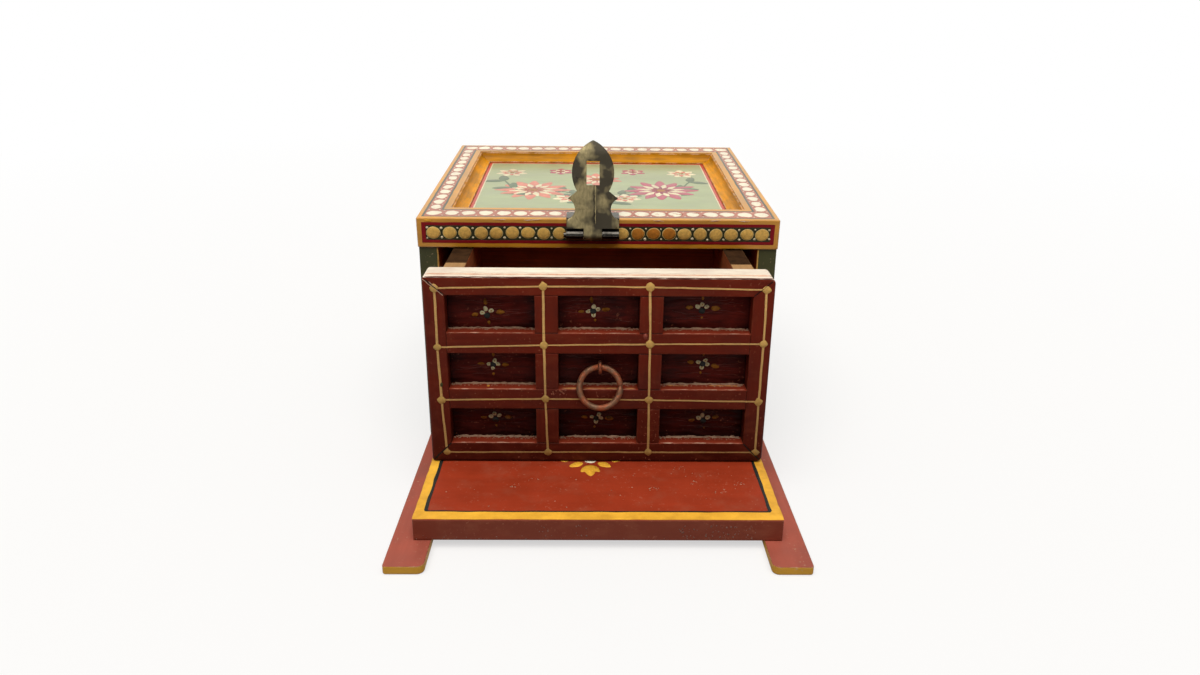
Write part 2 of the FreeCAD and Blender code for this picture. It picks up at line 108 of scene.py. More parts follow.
lid_turn = Matrix.Rotation(broad_slope("picture_board"), 4, "X")
rail_low, rail_high = box_in("lid_front_rail", lid_turn)
lid_frame = lid_turn @ Matrix.Translation((0, rail_low.y, rail_low.z))
lid_thick = rail_high.z - rail_low.z
lid_rail = rail_high.y - rail_low.y
lid_depth = box_in("lid_back_rail", lid_turn)[1].y - rail_low.y
stile_low, stile_high = box_in("lid_left_stile", lid_turn)
lid_half = -stile_low.x
lid_stile = stile_high.x - stile_low.x
picture_top = box_in("picture_board", lid_turn)[1].z - rail_low.z
cove_low, cove_high = box_in("front_cove", lid_turn)
cove_width = cove_high.y - cove_low.y

drawer_low, drawer_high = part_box("drawer_backing")
recess_y = drawer_low.y
chamber_y = drawer_high.y
drawer_low.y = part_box("front_top_rail")[0].y
# Painted shade on the drawer front and in its recesses: the paint darkens from 8 mm under the top down to the
# lowest height, where it reaches this share of black
drawer_painted_shade = (drawer_low.z, drawer_high.z - 8 * MM, 0.6)
recess_painted_shade = (drawer_low.z, drawer_high.z - 8 * MM, 0.8)
porch_low, porch_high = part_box("base_board")
carcass_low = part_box("left_side")[0]
carcass_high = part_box("right_side")[1]
side_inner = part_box("right_side")[0].x

lid_top_face = lid_frame @ face_at((0, 0, lid_thick), RIGHT, BACK)
lid_front_face = lid_frame @ face_at((0, 0, 0), RIGHT, UP)
lid_right_face = lid_frame @ face_at((lid_half, lid_depth / 2, 0), BACK, UP)
lid_back_face = lid_frame @ face_at((0, lid_depth, 0), LEFT, UP)
lid_left_face = lid_frame @ face_at((-lid_half, lid_depth / 2, 0), FRONT, UP)
picture_face = lid_frame @ face_at((0, 0, picture_top), RIGHT, BACK)
drawer_face = face_at((0, drawer_low.y, 0), RIGHT, UP)
recess_face = face_at((0, recess_y, 0), RIGHT, UP)
porch_face = face_at((0, 0, porch_high.z), RIGHT, BACK)
side_edge_face = face_at((0, carcass_low.y, 0), RIGHT, UP)
right_side_face = face_at((carcass_high.x, 0, 0), BACK, UP)
left_side_face = face_at((carcass_low.x, 0, 0), FRONT, UP)

recess_rows = [
    (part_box("front_bottom_rail")[1].z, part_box("lower_muntin")[0].z),
    (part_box("lower_muntin")[1].z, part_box("upper_muntin")[0].z),
    (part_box("upper_muntin")[1].z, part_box("front_top_rail")[0].z),
]
recess_columns = [
    (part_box("front_left_stile")[1].x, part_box("middle_left_muntin")[0].x),
    (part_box("middle_left_muntin")[1].x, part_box("middle_right_muntin")[0].x),
    (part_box("middle_right_muntin")[1].x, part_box("front_right_stile")[0].x),
]


def joint_place(name):
    """Where a joint's axis runs."""
    return Vector(next(joint["pos_m"] for joint in frame["joints"] if joint["name"] == name))


def upright_bars():
    """Names of the drawer front's upright bars."""
    short = [row + side + "_muntin" for row in ("top_", "middle_", "bottom_") for side in ("left", "right")]
    return short + ["front_left_stile", "front_right_stile"]


def lid_under():
    """Height of the lid's lower front edge."""
    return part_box("lid_front_rail")[0].z


def side_top(y):
    """Height of a side board's sloping top at a depth."""
    rise = (carcass_high.z - lid_under()) / (carcass_high.y - carcass_low.y)
    return lid_under() + rise * (y - carcass_low.y)


# Colours
def linear(hex_colour):
    """An sRGB hex colour as linear red, green and blue."""
    parts = [int(hex_colour[at:at + 2], 16) / 255 for at in (1, 3, 5)]
    return tuple(p / 12.92 if p <= 0.04045 else ((p + 0.055) / 1.055) ** 2.4 for p in parts)


def tint(name, description, hex_colour):
    """A colour that a user can change."""
    return bpy.props.FloatVectorProperty(
        name=name, description=description, subtype="COLOR", size=3, min=0, max=1, default=linear(hex_colour))


def length(name, description, default):
    """A length that a user can change, in metres."""
    return bpy.props.FloatProperty(
        name=name, description=description, unit="LENGTH", precision=5, default=default)


def number(name, description, default):
    """A count that a user can change."""
    return bpy.props.IntProperty(name=name, description=description, default=default)


class TrinketBoxColours(bpy.types.PropertyGroup):
    """The paints, woods and metals."""
    maroon: tint("Maroon", "Bars of the drawer front", "#6b2110")
    brick: tint("Brick red", "Top of the base board", "#98341a")
    runner: tint("Runner red", "Dusty red of the runners", "#a05040")
    green: tint("Green", "Outside of the carcass", "#444526")
    gold: tint("Gold ochre", "Frame of the lid", "#cf8f26")
    lid_red: tint("Lid red", "Red lines of the lid's edge", "#8a0f18")
    lid_ground: tint("Lid ground", "Dark ground behind the dots of the lid's edge", "#34341e")
    lid_field: tint("Lid field", "Red-brown field behind the dots on top of the lid", "#b46a54")
    slate: tint("Slate", "Thin grey-blue lines on top of the lid", "#4a4c3e")
    tan: tint("Tan", "Large dots on the lid's edge, and bare edges of the sides", "#ecb55e")
    amber: tint("Amber", "The few browner dots", "#b87428")
    cream: tint("Cream", "Small dots on the lid's edge, and petals on top", "#efe0bb")
    sage: tint("Sage", "Ground of the lid's picture", "#a2ae82")
    line_gold: tint("Line gold", "Lines on the drawer front and the sides", "#ecbc74")
    ochre: tint("Ochre", "Leaves in the recesses, and hearts in the lid's picture", "#a66a1a")
    ink: tint("Ink", "Flower hearts and the black line on the base board", "#20221f")
    yellow: tint("Yellow", "Border of the base board and its rosette", "#f0ae38")
    salmon: tint("Salmon", "Large petals of the lid's picture", "#d98470")
    rose: tint("Rose", "Side flowers of the lid's picture", "#b8566a")
    leaf: tint("Leaf", "Stems and leaves of the lid's picture", "#5f7358")
    bare: tint("Bare wood", "Bare top of the drawer front, and worn edges of the lid", "#ffe8d4")
    brown: tint("Brown wood", "Inside of the box and drawer", "#a5582e")
    dust: tint("Dust", "Worn edges and dust on base board, runners and sides", "#c4aa88")
    bronze: tint("Bronze", "Hasp tongue", "#968963")
    iron: tint("Iron", "Hinges and nails", "#2c2a28")
    steel: tint("Steel", "Hasp plate and its pin", "#4c4945")
    fillet: tint("Fillet red", "Red line round the lid's picture", "#c4402c")
    rust: tint("Rust", "Rust on the hinges, the nails and the ring's eye", "#4a3229")
    plum: tint("Plum", "Front and side edges of the base board", "#7c3a2a")
    olive: tint("Olive", "Ends and inner edges of the runners", "#d09a34")
    cove: tint("Cove gold", "Coves round the lid's picture", "#c6840e")
    worn: tint("Worn paint", "Rubbed arrises of the drawer front", "#a5654c")
    recess: tint("Recess maroon", "Backs of the drawer front's recesses", "#5c1a13")
    petal: tint("Petal", "Petals in the recesses", "#ffe9b8")
    knot_gold: tint("Knot gold", "Knots on the drawer front", "#deb264")
    top_cream: tint("Top cream", "Dots on top of the lid and the rosette's heart", "#fbecd2")
    stain: tint("Stain", "Dark stains on the hasp tongue", "#3a3427")
    ring_red: tint("Ring red", "Red-brown rust on the ring and its eye", "#984a27")
    glue: tint("Glue line", "Seam on the drawer front's bare top", "#f0ae8c")
    speck: tint("Specks", "Drops of pale paint on the base board", "#c98a72")
    # Painted light: a lighter red on the bars' upward faces, where the light from above falls on them
    ledge: tint("Ledge red", "Upward faces of the drawer front's bars", "#84301c")
    bloom: tint("Bloom", "Rubbed patches on the maroon", "#7c3c26")
    rubbed: tint("Rubbed patches", "Rubbed patches on the base board", "#9a5a44")
    stub: tint("Side tops", "Bare tops of the drawer's sides", "#a87f50")
    rim: tint("Dot rim", "Pale rims of the dots on the lid's edge", "#f4cf86")
    middle: tint("Petal middle", "Darker middles of the petals in the recesses", "#c09850")
    # Painted shadow: the lid's shade on the tops of the drawer's sides
    side_top_shadow: tint("Side stain", "Dark stain on the tops of the drawer's sides", "#3a2616")
    chip: tint("Chip", "Raw wood where an arris or a mitre is chipped", "#dcae94")
    dirt: tint("Ledge dust", "Brown dust on the ledges of the recesses", "#b4937a")
    # Painted sheen: paler streaks on the ridges of the rough wood in the recesses
    ridge: tint("Ridges", "Rubbed ridges of the rough wood in the recesses", "#7a3c34")
    halo: tint("Seam halo", "Stained wood along the seam of the drawer front's top", "#fbdcc4")
    wire: tint("Wire", "Rubbed iron of the pull ring", "#6c4f3a")
    chipped: tint("Chipped ledge", "Bare wood on the ledge behind the ring", "#cc8c54")
    grime_and_shade: tint("Grime", "Scuffs low on the base board's front edge", "#8e6458")


class TrinketBoxSizes(bpy.types.PropertyGroup):
    """The ornament's sizes."""
    edge_dots: number("Edge dots", "Dots along the lid's front edge", 22)
    edge_dot_width: length("Edge dot width", "Width of a dot on the lid's edge", 7.6 * MM)
    edge_dot_height: length("Edge dot height", "Height of a dot on the lid's edge", 6.9 * MM)
    pearl: length("Pearl", "Radius of the small dots between the large ones", 0.7 * MM)
    top_dots: number("Top dots", "Dots along the lid's front rail", 20)
    side_dots: number("Side dots", "Dots along a lid stile", 14)
    gold_line: length("Gold line", "Width of the lines on the drawer front", 0.98 * MM)
    knot: length("Knot", "Radius of the knots where those lines cross", 2.0 * MM)
    porch_border: length("Porch border", "Width of the yellow border at the sides", 5.2 * MM)
    porch_front: length("Porch front", "Width of the yellow border at the front and back", 7.2 * MM)
    porch_line: length("Porch line", "Width of the black line inside the border", 1.25 * MM)
    rosette: length("Rosette", "Radius of the rosette on the porch", 17.7 * MM)


# Materials
# Sizes of the patterns in millimetres; real pores and grit are finer, and drawn this coarse to show
BLOTCHES = (24, 24, 24)
CLUSTERS = (17, 17, 17)
CLOUDS = (11, 11, 6)
BREAKS = (6, 6, 6)
MOTTLE = (3.5, 3.5, 3.5)
GRAINS = (1.5, 1.5, 1.5)
GRIT = (0.9, 0.9, 0.9)
PORES = (0.7, 0.7, 0.7)
# How far the painted shade of inner corners reaches
CORNER_SHADE_REACH = 9 * MM
METAL_EDGE = 0.35 * MM
VARNISH_ROUGH = 0.22
BLACK = (0, 0, 0, 1)


def add(tree, kind, links=None, **settings):
    """Adds a node with its settings, its values and its links."""
    node = tree.nodes.new("ShaderNode" + kind)
    for name, value in settings.items():
        setattr(node, name, value)
    for socket, value in (links or {}).items():
        if isinstance(value, bpy.types.NodeSocket):
            tree.links.new(value, node.inputs[socket])
        else:
            node.inputs[socket].default_value = value
    return node


def toned(colour, factor):
    """A colour made darker or lighter."""
    return tuple(min(1.0, part * factor) for part in colour)


def shade(colour, factor):
    """A colour made darker or lighter, as a node value."""
    return toned(colour, factor) + (1.0,)


def per_mm(*sizes):
    """Pattern scale, in steps per metre, for features of these sizes in millimetres."""
    return tuple(1 / (size * MM) for size in sizes)


def drawn_out(tree, where, sizes, detail):
    """Noise whose blotches have these sizes in millimetres along x, y and z."""
    stretched = add(tree, "Mapping", {"Vector": where, "Scale": per_mm(*sizes)})
    pattern = add(tree, "TexNoise",
                  {"Vector": stretched.outputs[0], "Scale": 1.0, "Detail": detail, "Roughness": 0.6})
    return pattern.outputs[0]


def between(tree, value, low, high, start=0.0, end=1.0):
    """A value stretched from one range to another, and held at its ends."""
    links = {"Value": value, "From Min": low, "From Max": high, "To Min": start, "To Max": end}
    return add(tree, "MapRange", links, clamp=True).outputs[0]


def times(tree, first, second):
    """One mask held back by another."""
    return add(tree, "Math", {0: first, 1: second}, operation="MULTIPLY").outputs[0]


def over(tree, mask, under, top):
    """One colour laid over another where the mask says."""
    return add(tree, "Mix", {0: mask, 6: under, 7: top}, data_type="RGBA").outputs[2]


def start_material(name):
    """An empty material with its shader, and the place that its patterns follow."""
    material = bpy.data.materials.new(name)
    material.use_nodes = True
    tree = material.node_tree
    tree.nodes.clear()
    shader = add(tree, "BsdfPrincipled")
    add(tree, "OutputMaterial", {"Surface": shader.outputs[0]})
    where = add(tree, "TexCoord").outputs["Object"]
    return material, tree, shader, where


def facing(tree, direction):
    """Where the surface looks towards a direction of the piece at rest."""
    normal = add(tree, "TexCoord").outputs["Normal"]
    dot = add(tree, "VectorMath", {0: normal, 1: direction}, operation="DOT_PRODUCT").outputs["Value"]
    return between(tree, dot, 0.55, 0.75)


def agreement(tree, round_edge):
    """How far a rounded edge agrees with the sharp one: fully on a face, less along an arris."""
    flat = add(tree, "NewGeometry").outputs["Normal"]
    return add(tree, "VectorMath", {0: round_edge, 1: flat}, operation="DOT_PRODUCT").outputs["Value"]


def brushed_paint(name, colour, brush, spread=0.25, relief=0.05, rough=(0.42, 0.62), worn=None, wear=0.6,
                  specks=None, speck_share=0.7, faces=(), coat=0.0, edge=0.7, foot=None, gloss=0.3,
                  corners=0.0, smudge=None):
    """Brushed oil paint on wood: streaks along the brush, blotches, rubbed edges and pale specks.

    brush gives the streaks' sizes along x, y and z, and relief and edge are in millimetres too.
    faces lists directions that show another colour, and foot the heights between which painted shade darkens
    the paint towards the bottom. gloss is the shader's specular level, corners the share of painted shade in
    inner corners, and smudge the colour of soft rubbed patches.
    """
    material, tree, shader, where = start_material(name)
    streaks = drawn_out(tree, where, brush, 5.0)
    blotches = drawn_out(tree, where, BLOTCHES, 3.0)
    tone = add(tree, "Math", {0: streaks, 1: blotches}, operation="ADD").outputs[0]
    tone = between(tree, tone, 0.72, 1.28)
    paint = over(tree, tone, shade(colour, 1 - spread), shade(colour, 1 + spread))
    # Painted shade: the paint darkens towards the bottom, between the heights in foot
    if foot is not None:
        height = add(tree, "SeparateXYZ", {0: where}).outputs["Z"]
        grime_and_shade = between(tree, height, foot[0], foot[1], foot[2], 0.0)
        paint = over(tree, grime_and_shade, paint, BLACK)
    # Painted shade in inner corners, found by ambient occlusion
    if corners:
        openness = add(tree, "AmbientOcclusion", {"Distance": CORNER_SHADE_REACH}, samples=8).outputs["AO"]
        paint = over(tree, between(tree, openness, 0.25, 0.85, corners, 0.0), paint, BLACK)
    for direction, other in faces:
        other_paint = over(tree, tone, shade(other, 1 - spread * 0.6), shade(other, 1 + spread * 0.4))
        paint = over(tree, facing(tree, direction), paint, other_paint)
    if smudge is not None:
        clouds = between(tree, drawn_out(tree, where, CLOUDS, 5.0), 0.5, 0.75, 0.0, 0.3)
        paint = over(tree, clouds, paint, shade(smudge, 1.0))
    if specks is not None:
        clusters = between(tree, drawn_out(tree, where, CLUSTERS, 2.0), 0.44, 0.6)
        grains = between(tree, drawn_out(tree, where, GRAINS, 2.0), 0.64, 0.7, 0.0, speck_share)
        paint = over(tree, times(tree, clusters, grains), paint, shade(specks, 1.0))
    round_edge = add(tree, "Bevel", {"Radius": edge * MM}, samples=4).outputs[0]
    if worn is not None:
        turn = agreement(tree, round_edge)
        rim = between(tree, turn, 0.985, 0.86)
        breaks = between(tree, drawn_out(tree, where, BREAKS, 5.0), 0.42, 0.58, 0.0, wear)
        paint = over(tree, times(tree, rim, breaks), paint, shade(worn, 1.0))
    pores = drawn_out(tree, where, PORES, 2.0)
    ridges = add(tree, "Math", {0: pores, 1: 0.25, 2: streaks}, operation="MULTIPLY_ADD").outputs[0]
    bump = add(tree, "Bump",
               {"Height": ridges, "Distance": relief * MM, "Strength": 1.0, "Normal": round_edge})
    tree.links.new(paint, shader.inputs["Base Color"])
    tree.links.new(between(tree, blotches, 0.35, 0.65, *rough), shader.inputs["Roughness"])
    tree.links.new(bump.outputs[0], shader.inputs["Normal"])
    shader.inputs["Specular IOR Level"].default_value = gloss
    shader.inputs["Coat Weight"].default_value = coat
    shader.inputs["Coat Roughness"].default_value = VARNISH_ROUGH
    return material


def aged_metal(name, colour, patch, patch_size, share, rough, metallic, relief=0.05, scratch=(0.6, 0.6, 9),
               soft=0.05):
    """Old sheet or wire: dull metal with dark patches, fine scratches and dirt along its edges."""
    material, tree, shader, where = start_material(name)
    clouds = drawn_out(tree, where, (patch_size,) * 3, 3.0)
    patches = between(tree, clouds, share - soft, share + soft)
    scratches = drawn_out(tree, where, scratch, 3.0)
    grit = drawn_out(tree, where, GRIT, 3.0)
    mottle = drawn_out(tree, where, MOTTLE, 4.0)
    metal = over(tree, between(tree, scratches, 0.35, 0.65), shade(colour, 0.78), shade(colour, 1.2))
    metal = over(tree, between(tree, mottle, 0.45, 0.7, 0.0, 0.22), metal, shade(patch, 1.3))
    metal = over(tree, patches, metal, shade(patch, 1.0))
    round_edge = add(tree, "Bevel", {"Radius": METAL_EDGE}, samples=4).outputs[0]
    turn = agreement(tree, round_edge)
    metal = over(tree, between(tree, turn, 0.99, 0.85, 0.0, 0.6), metal, shade(patch, 0.4))
    height = add(tree, "Math", {0: scratches, 1: 0.4, 2: grit}, operation="MULTIPLY_ADD").outputs[0]
    bump = add(tree, "Bump",
               {"Height": height, "Distance": relief * MM, "Strength": 1.0, "Normal": round_edge})
    tree.links.new(metal, shader.inputs["Base Color"])
    tree.links.new(between(tree, clouds, 0.35, 0.65, *rough), shader.inputs["Roughness"])
    tree.links.new(bump.outputs[0], shader.inputs["Normal"])
    shader.inputs["Metallic"].default_value = metallic
    return material


def film_paint(name, colour, spread=0.16, rough=(0.4, 0.6), grain=1.6, coat=0.0, foot=None, gloss=0.2):
    """A thin dab or line of the same oil paint, uneven where the brush left it thick or thin."""
    return brushed_paint(name, colour, (grain, grain, grain), spread, 0.03, rough, coat=coat, foot=foot,
                         gloss=gloss)


def rusty_wire(name, colour, patch):
    """Wrought iron wire: rubbed bright in places, rusty and pitted in others."""
    return aged_metal(name, colour, patch, 5, 0.54, (0.32, 0.6), 0.55, 0.4, (1.5, 1.5, 1.5), 0.1)


def looked_at(tree, path):
    """Where the camera, a mirror or glass looks, and not where light bounces."""
    mirror = add(tree, "Math", {0: path.outputs["Is Glossy Ray"], 1: path.outputs["Is Transmission Ray"]},
                 operation="ADD")
    links = {0: path.outputs["Is Camera Ray"], 1: mirror.outputs[0]}
    return add(tree, "Math", links, operation="ADD", use_clamp=True).outputs[0]


def dress(names, material):
    """Gives CAD nodes a finish."""
    for name in names:
        slots = frame["nodes"][name].data.materials
        slots.clear()
        slots.append(material)


# Modelling by hand: motifs of unit size, then copies of them on a surface
def clear_selection():
    """Object mode, with nothing selected."""
    if bpy.context.object is not None and bpy.context.object.mode != "OBJECT":
        bpy.ops.object.mode_set(mode="OBJECT")
    bpy.ops.object.select_all(action="DESELECT")


def raise_film(crown):
    """In edit mode, raises a flat outline to a film with a bevelled rim, and closes it."""
    bpy.ops.mesh.select_all(action="SELECT")
    bpy.ops.mesh.extrude_region_move(TRANSFORM_OT_translate={"value": (0, 0, 0.65)})
    bpy.ops.mesh.extrude_region_move(TRANSFORM_OT_translate={"value": (0, 0, 0.35)})
    bpy.ops.transform.resize(value=(crown, crown, 1))
    bpy.ops.mesh.select_all(action="SELECT")
    bpy.ops.mesh.normals_make_consistent(inside=False)
    bpy.ops.object.mode_set(mode="OBJECT")


def model_dab(sides=20):
    """A round dab of paint of unit radius, with a soft rim."""
    clear_selection()
    bpy.ops.mesh.primitive_circle_add(vertices=sides, radius=1, fill_type="NGON")
    bpy.ops.object.mode_set(mode="EDIT")
    raise_film(0.84)
    return bpy.context.object


def model_knot():
    """A dab drawn out a little to four sides, where two lines cross."""
    clear_selection()
    bpy.ops.mesh.primitive_circle_add(vertices=24, radius=1, fill_type="NGON")
    knot = bpy.context.object
    for vertex in knot.data.vertices:
        reach = max(abs(vertex.co.x), abs(vertex.co.y))
        vertex.co *= 0.98 + 0.14 * max(0.0, reach - 0.93) / 0.07
    bpy.ops.object.mode_set(mode="EDIT")
    raise_film(0.84)
    return knot


def model_leaf():
    """A brush-stroke leaf of unit length and width, from its stem to its tip along y."""
    clear_selection()
    bpy.ops.mesh.primitive_circle_add(vertices=18, radius=0.5, fill_type="NGON")
    leaf = bpy.context.object
    for vertex in leaf.data.vertices:
        along = vertex.co.y + 0.5
        vertex.co.x *= 1.12 - 0.75 * max(0.0, along - 0.45)
        vertex.co.y = along
    bpy.ops.object.mode_set(mode="EDIT")
    raise_film(0.9)
    return leaf


def model_strip(cells, rows=1):
    """A unit strip of film, divided along its length."""
    clear_selection()
    bpy.ops.mesh.primitive_grid_add(x_subdivisions=cells, y_subdivisions=rows, size=1)
    strip = bpy.context.object
    bpy.ops.object.mode_set(mode="EDIT")
    bpy.ops.mesh.select_all(action="SELECT")
    bpy.ops.mesh.extrude_region_move(TRANSFORM_OT_translate={"value": (0, 0, 1)})
    bpy.ops.mesh.select_all(action="SELECT")
    bpy.ops.mesh.normals_make_consistent(inside=False)
    bpy.ops.object.mode_set(mode="OBJECT")
    return strip


def discard(*motifs):
    """Takes the motifs away once their copies are laid."""
    for motif in motifs:
        mesh = motif.data
        bpy.data.objects.remove(motif)
        bpy.data.meshes.remove(mesh)


def placed(motif, u, v, wide, long, height, turn=0.0):
    """A copy of a motif at a place on the surface, sized and turned."""
    cos = math.cos(turn)
    sin = math.sin(turn)

    def shape(p):
        x = p.x * wide
        y = p.y * long
        return Vector((u + x * cos - y * sin, v + x * sin + y * cos, p.z * height - SINK))

    return motif, shape


def spread(strip, corners, height):
    """A strip stretched over four corners, counted round from its start's right side."""
    start_low, end_low, end_high, start_high = [Vector(corner) for corner in corners]

    def shape(p):
        low = start_low.lerp(end_low, p.x + 0.5)
        high = start_high.lerp(end_high, p.x + 0.5)
        point = low.lerp(high, p.y + 0.5)
        return Vector((point.x, point.y, p.z * height - SINK))

    return strip, shape


def ribbon(strip, points, widths, height, closed=False):
    """A painted line through points, with its width at each of them."""
    points = [Vector(p) for p in points]
    count = len(points)
    left = []
    right = []
    for index, point in enumerate(points):
        before = points[index - 1] if closed or index else point
        after = points[(index + 1) % count] if closed or index + 1 < count else point
        run_in = (point - before).normalized() if point != before else (after - point).normalized()
        run_out = (after - point).normalized() if after != point else run_in
        normal = Vector((-(run_in.y + run_out.y), run_in.x + run_out.x)).normalized()
        square = Vector((-run_in.y, run_in.x))
        offset = normal * (widths[index] / 2 / max(MITRE_LIMIT, normal.dot(square)))
        left.append(point + offset)
        right.append(point - offset)
    stamps = []
    for index in range(count if closed else count - 1):
        after = (index + 1) % count
        stamps.append(spread(strip, (right[index], right[after], left[after], left[index]), height))
    return stamps


def stations(start, end, step):
    """Places along a straight run, about a step apart, and the direction across it."""
    start = Vector(start)
    run = Vector(end) - start
    count = max(2, round(run.length / step) + 1)
    across = Vector((-run.y, run.x)).normalized()
    return [start + run * (index / (count - 1)) for index in range(count)], across


def hand_line(strip, start, end, width, height, draw, step=9 * MM, stray=0.12 * MM):
    """A straight line drawn by hand: it strays a little and its width changes."""
    places, across = stations(start, end, step)
    points = []
    for index, place in enumerate(places):
        inner = 0 < index < len(places) - 1
        off = draw.uniform(-stray, stray) if inner else 0.0
        points.append(place + across * off)
    widths = [width * draw.uniform(0.86, 1.14) for _ in points]
    return ribbon(strip, points, widths, height)


def frame_band(strip, low, high, width, height):
    """Four mitred strips round the inside of a rectangle."""
    outer = [(low[0], low[1]), (high[0], low[1]), (high[0], high[1]), (low[0], high[1])]
    width_u, width_v = width if isinstance(width, tuple) else (width, width)
    inner_low = (low[0] + width_u, low[1] + width_v)
    inner_high = (high[0] - width_u, high[1] - width_v)
    inner = [inner_low, (inner_high[0], inner_low[1]), inner_high, (inner_low[0], inner_high[1])]
    stamps = []
    for index in range(4):
        after = (index + 1) % 4
        stamps.append(spread(strip, (outer[index], outer[after], inner[after], inner[index]), height))
    return stamps


def lay_paint(name, surface, stamps, material, body, wobble=0.1 * MM, reach=7 * MM, ground=None):
    """Copies the stamped motifs onto a surface as one piece, with an unsteady hand, and lets it ride.

    Each copy lies a hair above the one before, and ground gives the height of an uneven surface.
    """
    mesh = bpy.data.meshes.new(name)
    build = bmesh.new()
    for index, (motif, shape) in enumerate(stamps):
        copy = motif.data.copy()
        lift = index % LAPS * LAP_RISE * MM
        for vertex in copy.vertices:
            point = shape(vertex.co)
            stray = noise.noise_vector(Vector((point.x, point.y, 0)) / reach) * wobble
            rise = lift if vertex.co.z > 0.5 else 0.0
            if ground is not None:
                rise += ground(point.x, point.y)
            vertex.co = surface @ (point + Vector((stray.x, stray.y, rise)))
        build.from_mesh(copy)
        bpy.data.meshes.remove(copy)
    build.to_mesh(mesh)
    build.free()
    piece = bpy.data.objects.new(name, mesh)
    bpy.context.scene.collection.objects.link(piece)
    settle(piece, material, body)


def settle(piece, material, body):
    """Smooths a finished piece, gives it its material and lets it ride on its body."""
    piece.data.materials.clear()
    piece.data.materials.append(material)
    clear_selection()
    piece.select_set(True)
    bpy.context.view_layer.objects.active = piece
    bpy.ops.object.shade_smooth_by_angle(angle=SMOOTH_ANGLE)
    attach(piece, body)


def scatter(dab, draw, count, low, high, size, height):
    """Small dabs strewn over a rectangle."""
    stamps = []
    for _ in range(count):
        u = draw.uniform(low[0], high[0])
        v = draw.uniform(low[1], high[1])
        wide = draw.uniform(*size)
        stamps.append(placed(dab, u, v, wide, wide * draw.uniform(0.5, 1.2), height,
                             draw.uniform(0, math.pi)))
    return stamps


def rough_line(strip, start, end, widths, height, draw, step=1.6 * MM, stray=0.2 * MM):
    """An uneven streak whose width wanders between two values."""
    places, across = stations(start, end, step)
    points = []
    sizes = []
    for place in places:
        points.append(place + across * draw.uniform(-stray, stray))
        sizes.append(draw.uniform(*widths))
    sizes[0] *= STREAK_END
    sizes[-1] *= STREAK_END
    return ribbon(strip, points, sizes, height)


def gouged(u, v):
    """Height of the rough drawer backing above its deepest gouges.

    Its grain wanders up and down, with long gouges along it and short ones between them.
    """
    v += 1.6 * MM * noise.noise(Vector((u / (15 * MM), v / (12 * MM), 6)))
    long = noise.noise(Vector((u / (12 * MM), v / (1.9 * MM), 3)))
    short = noise.noise(Vector((u / (4 * MM), v / (3 * MM), 9)))
    return max(0.06, 0.5 + 0.42 * long + 0.14 * short) * MM


# Operators
class BoxOperator:
    """What every operator of the box shares."""
    bl_options = {"REGISTER"}

    @property
    def colours(self):
        return bpy.context.scene.trinket_colours

    @property
    def sizes(self):
        return bpy.context.scene.trinket_sizes


class TRINKET_OT_carcass(BoxOperator, bpy.types.Operator):
    """Paints the runners, the base board and the carcass"""
    bl_idname = "trinket.carcass"
    bl_label = "Carcass boards"

    def execute(self, context):
        c = self.colours
        # Brick-red oil paint on a planed board, brushed from side to side, scuffed and specked
        base = brushed_paint(
            "brick_oil_paint", c.brick, (60, 9, 9), spread=0.13, rough=(0.5, 0.66), worn=c.dust, wear=0.35,
            specks=c.speck, speck_share=0.3, gloss=0.15, smudge=c.rubbed,
            faces=[(FRONT, c.plum), (RIGHT, c.plum), (LEFT, c.plum), (DOWN, c.brown)])
        dress(["base_board"], base)
        # The same red, dusty and rubbed dull along the runners, with ochre ends and inner edges
        for name, inward in (("left_runner", RIGHT), ("right_runner", LEFT)):
            runner = brushed_paint(
                name + "_dusty_paint", c.runner, (8, 70, 8), spread=0.18, relief=0.06, rough=(0.5, 0.7),
                worn=c.dust, wear=0.5, specks=c.dust, speck_share=0.5, edge=1.0,
                faces=[(FRONT, c.olive), (BACK, c.olive), (inward, c.olive), (DOWN, c.brown)])
            dress([name], runner)
        # Dark green paint outside, brown wood inside
        for name, inward in (("left_side", RIGHT), ("right_side", LEFT), ("back_board", FRONT)):
            board = brushed_paint(
                name + "_green_paint", c.green, (10, 50, 12), spread=0.22, rough=(0.45, 0.62), worn=c.dust,
                wear=0.4, specks=c.dust, speck_share=0.4, faces=[(inward, c.brown), (UP, c.brown)])
            dress([name], board)
        guide = brushed_paint("planed_brown_wood", c.brown, (2, 60, 2), spread=0.3, relief=0.06,
                              rough=(0.6, 0.75))
        dress(["left_drawer_guide", "right_drawer_guide"], guide)
        return {"FINISHED"}


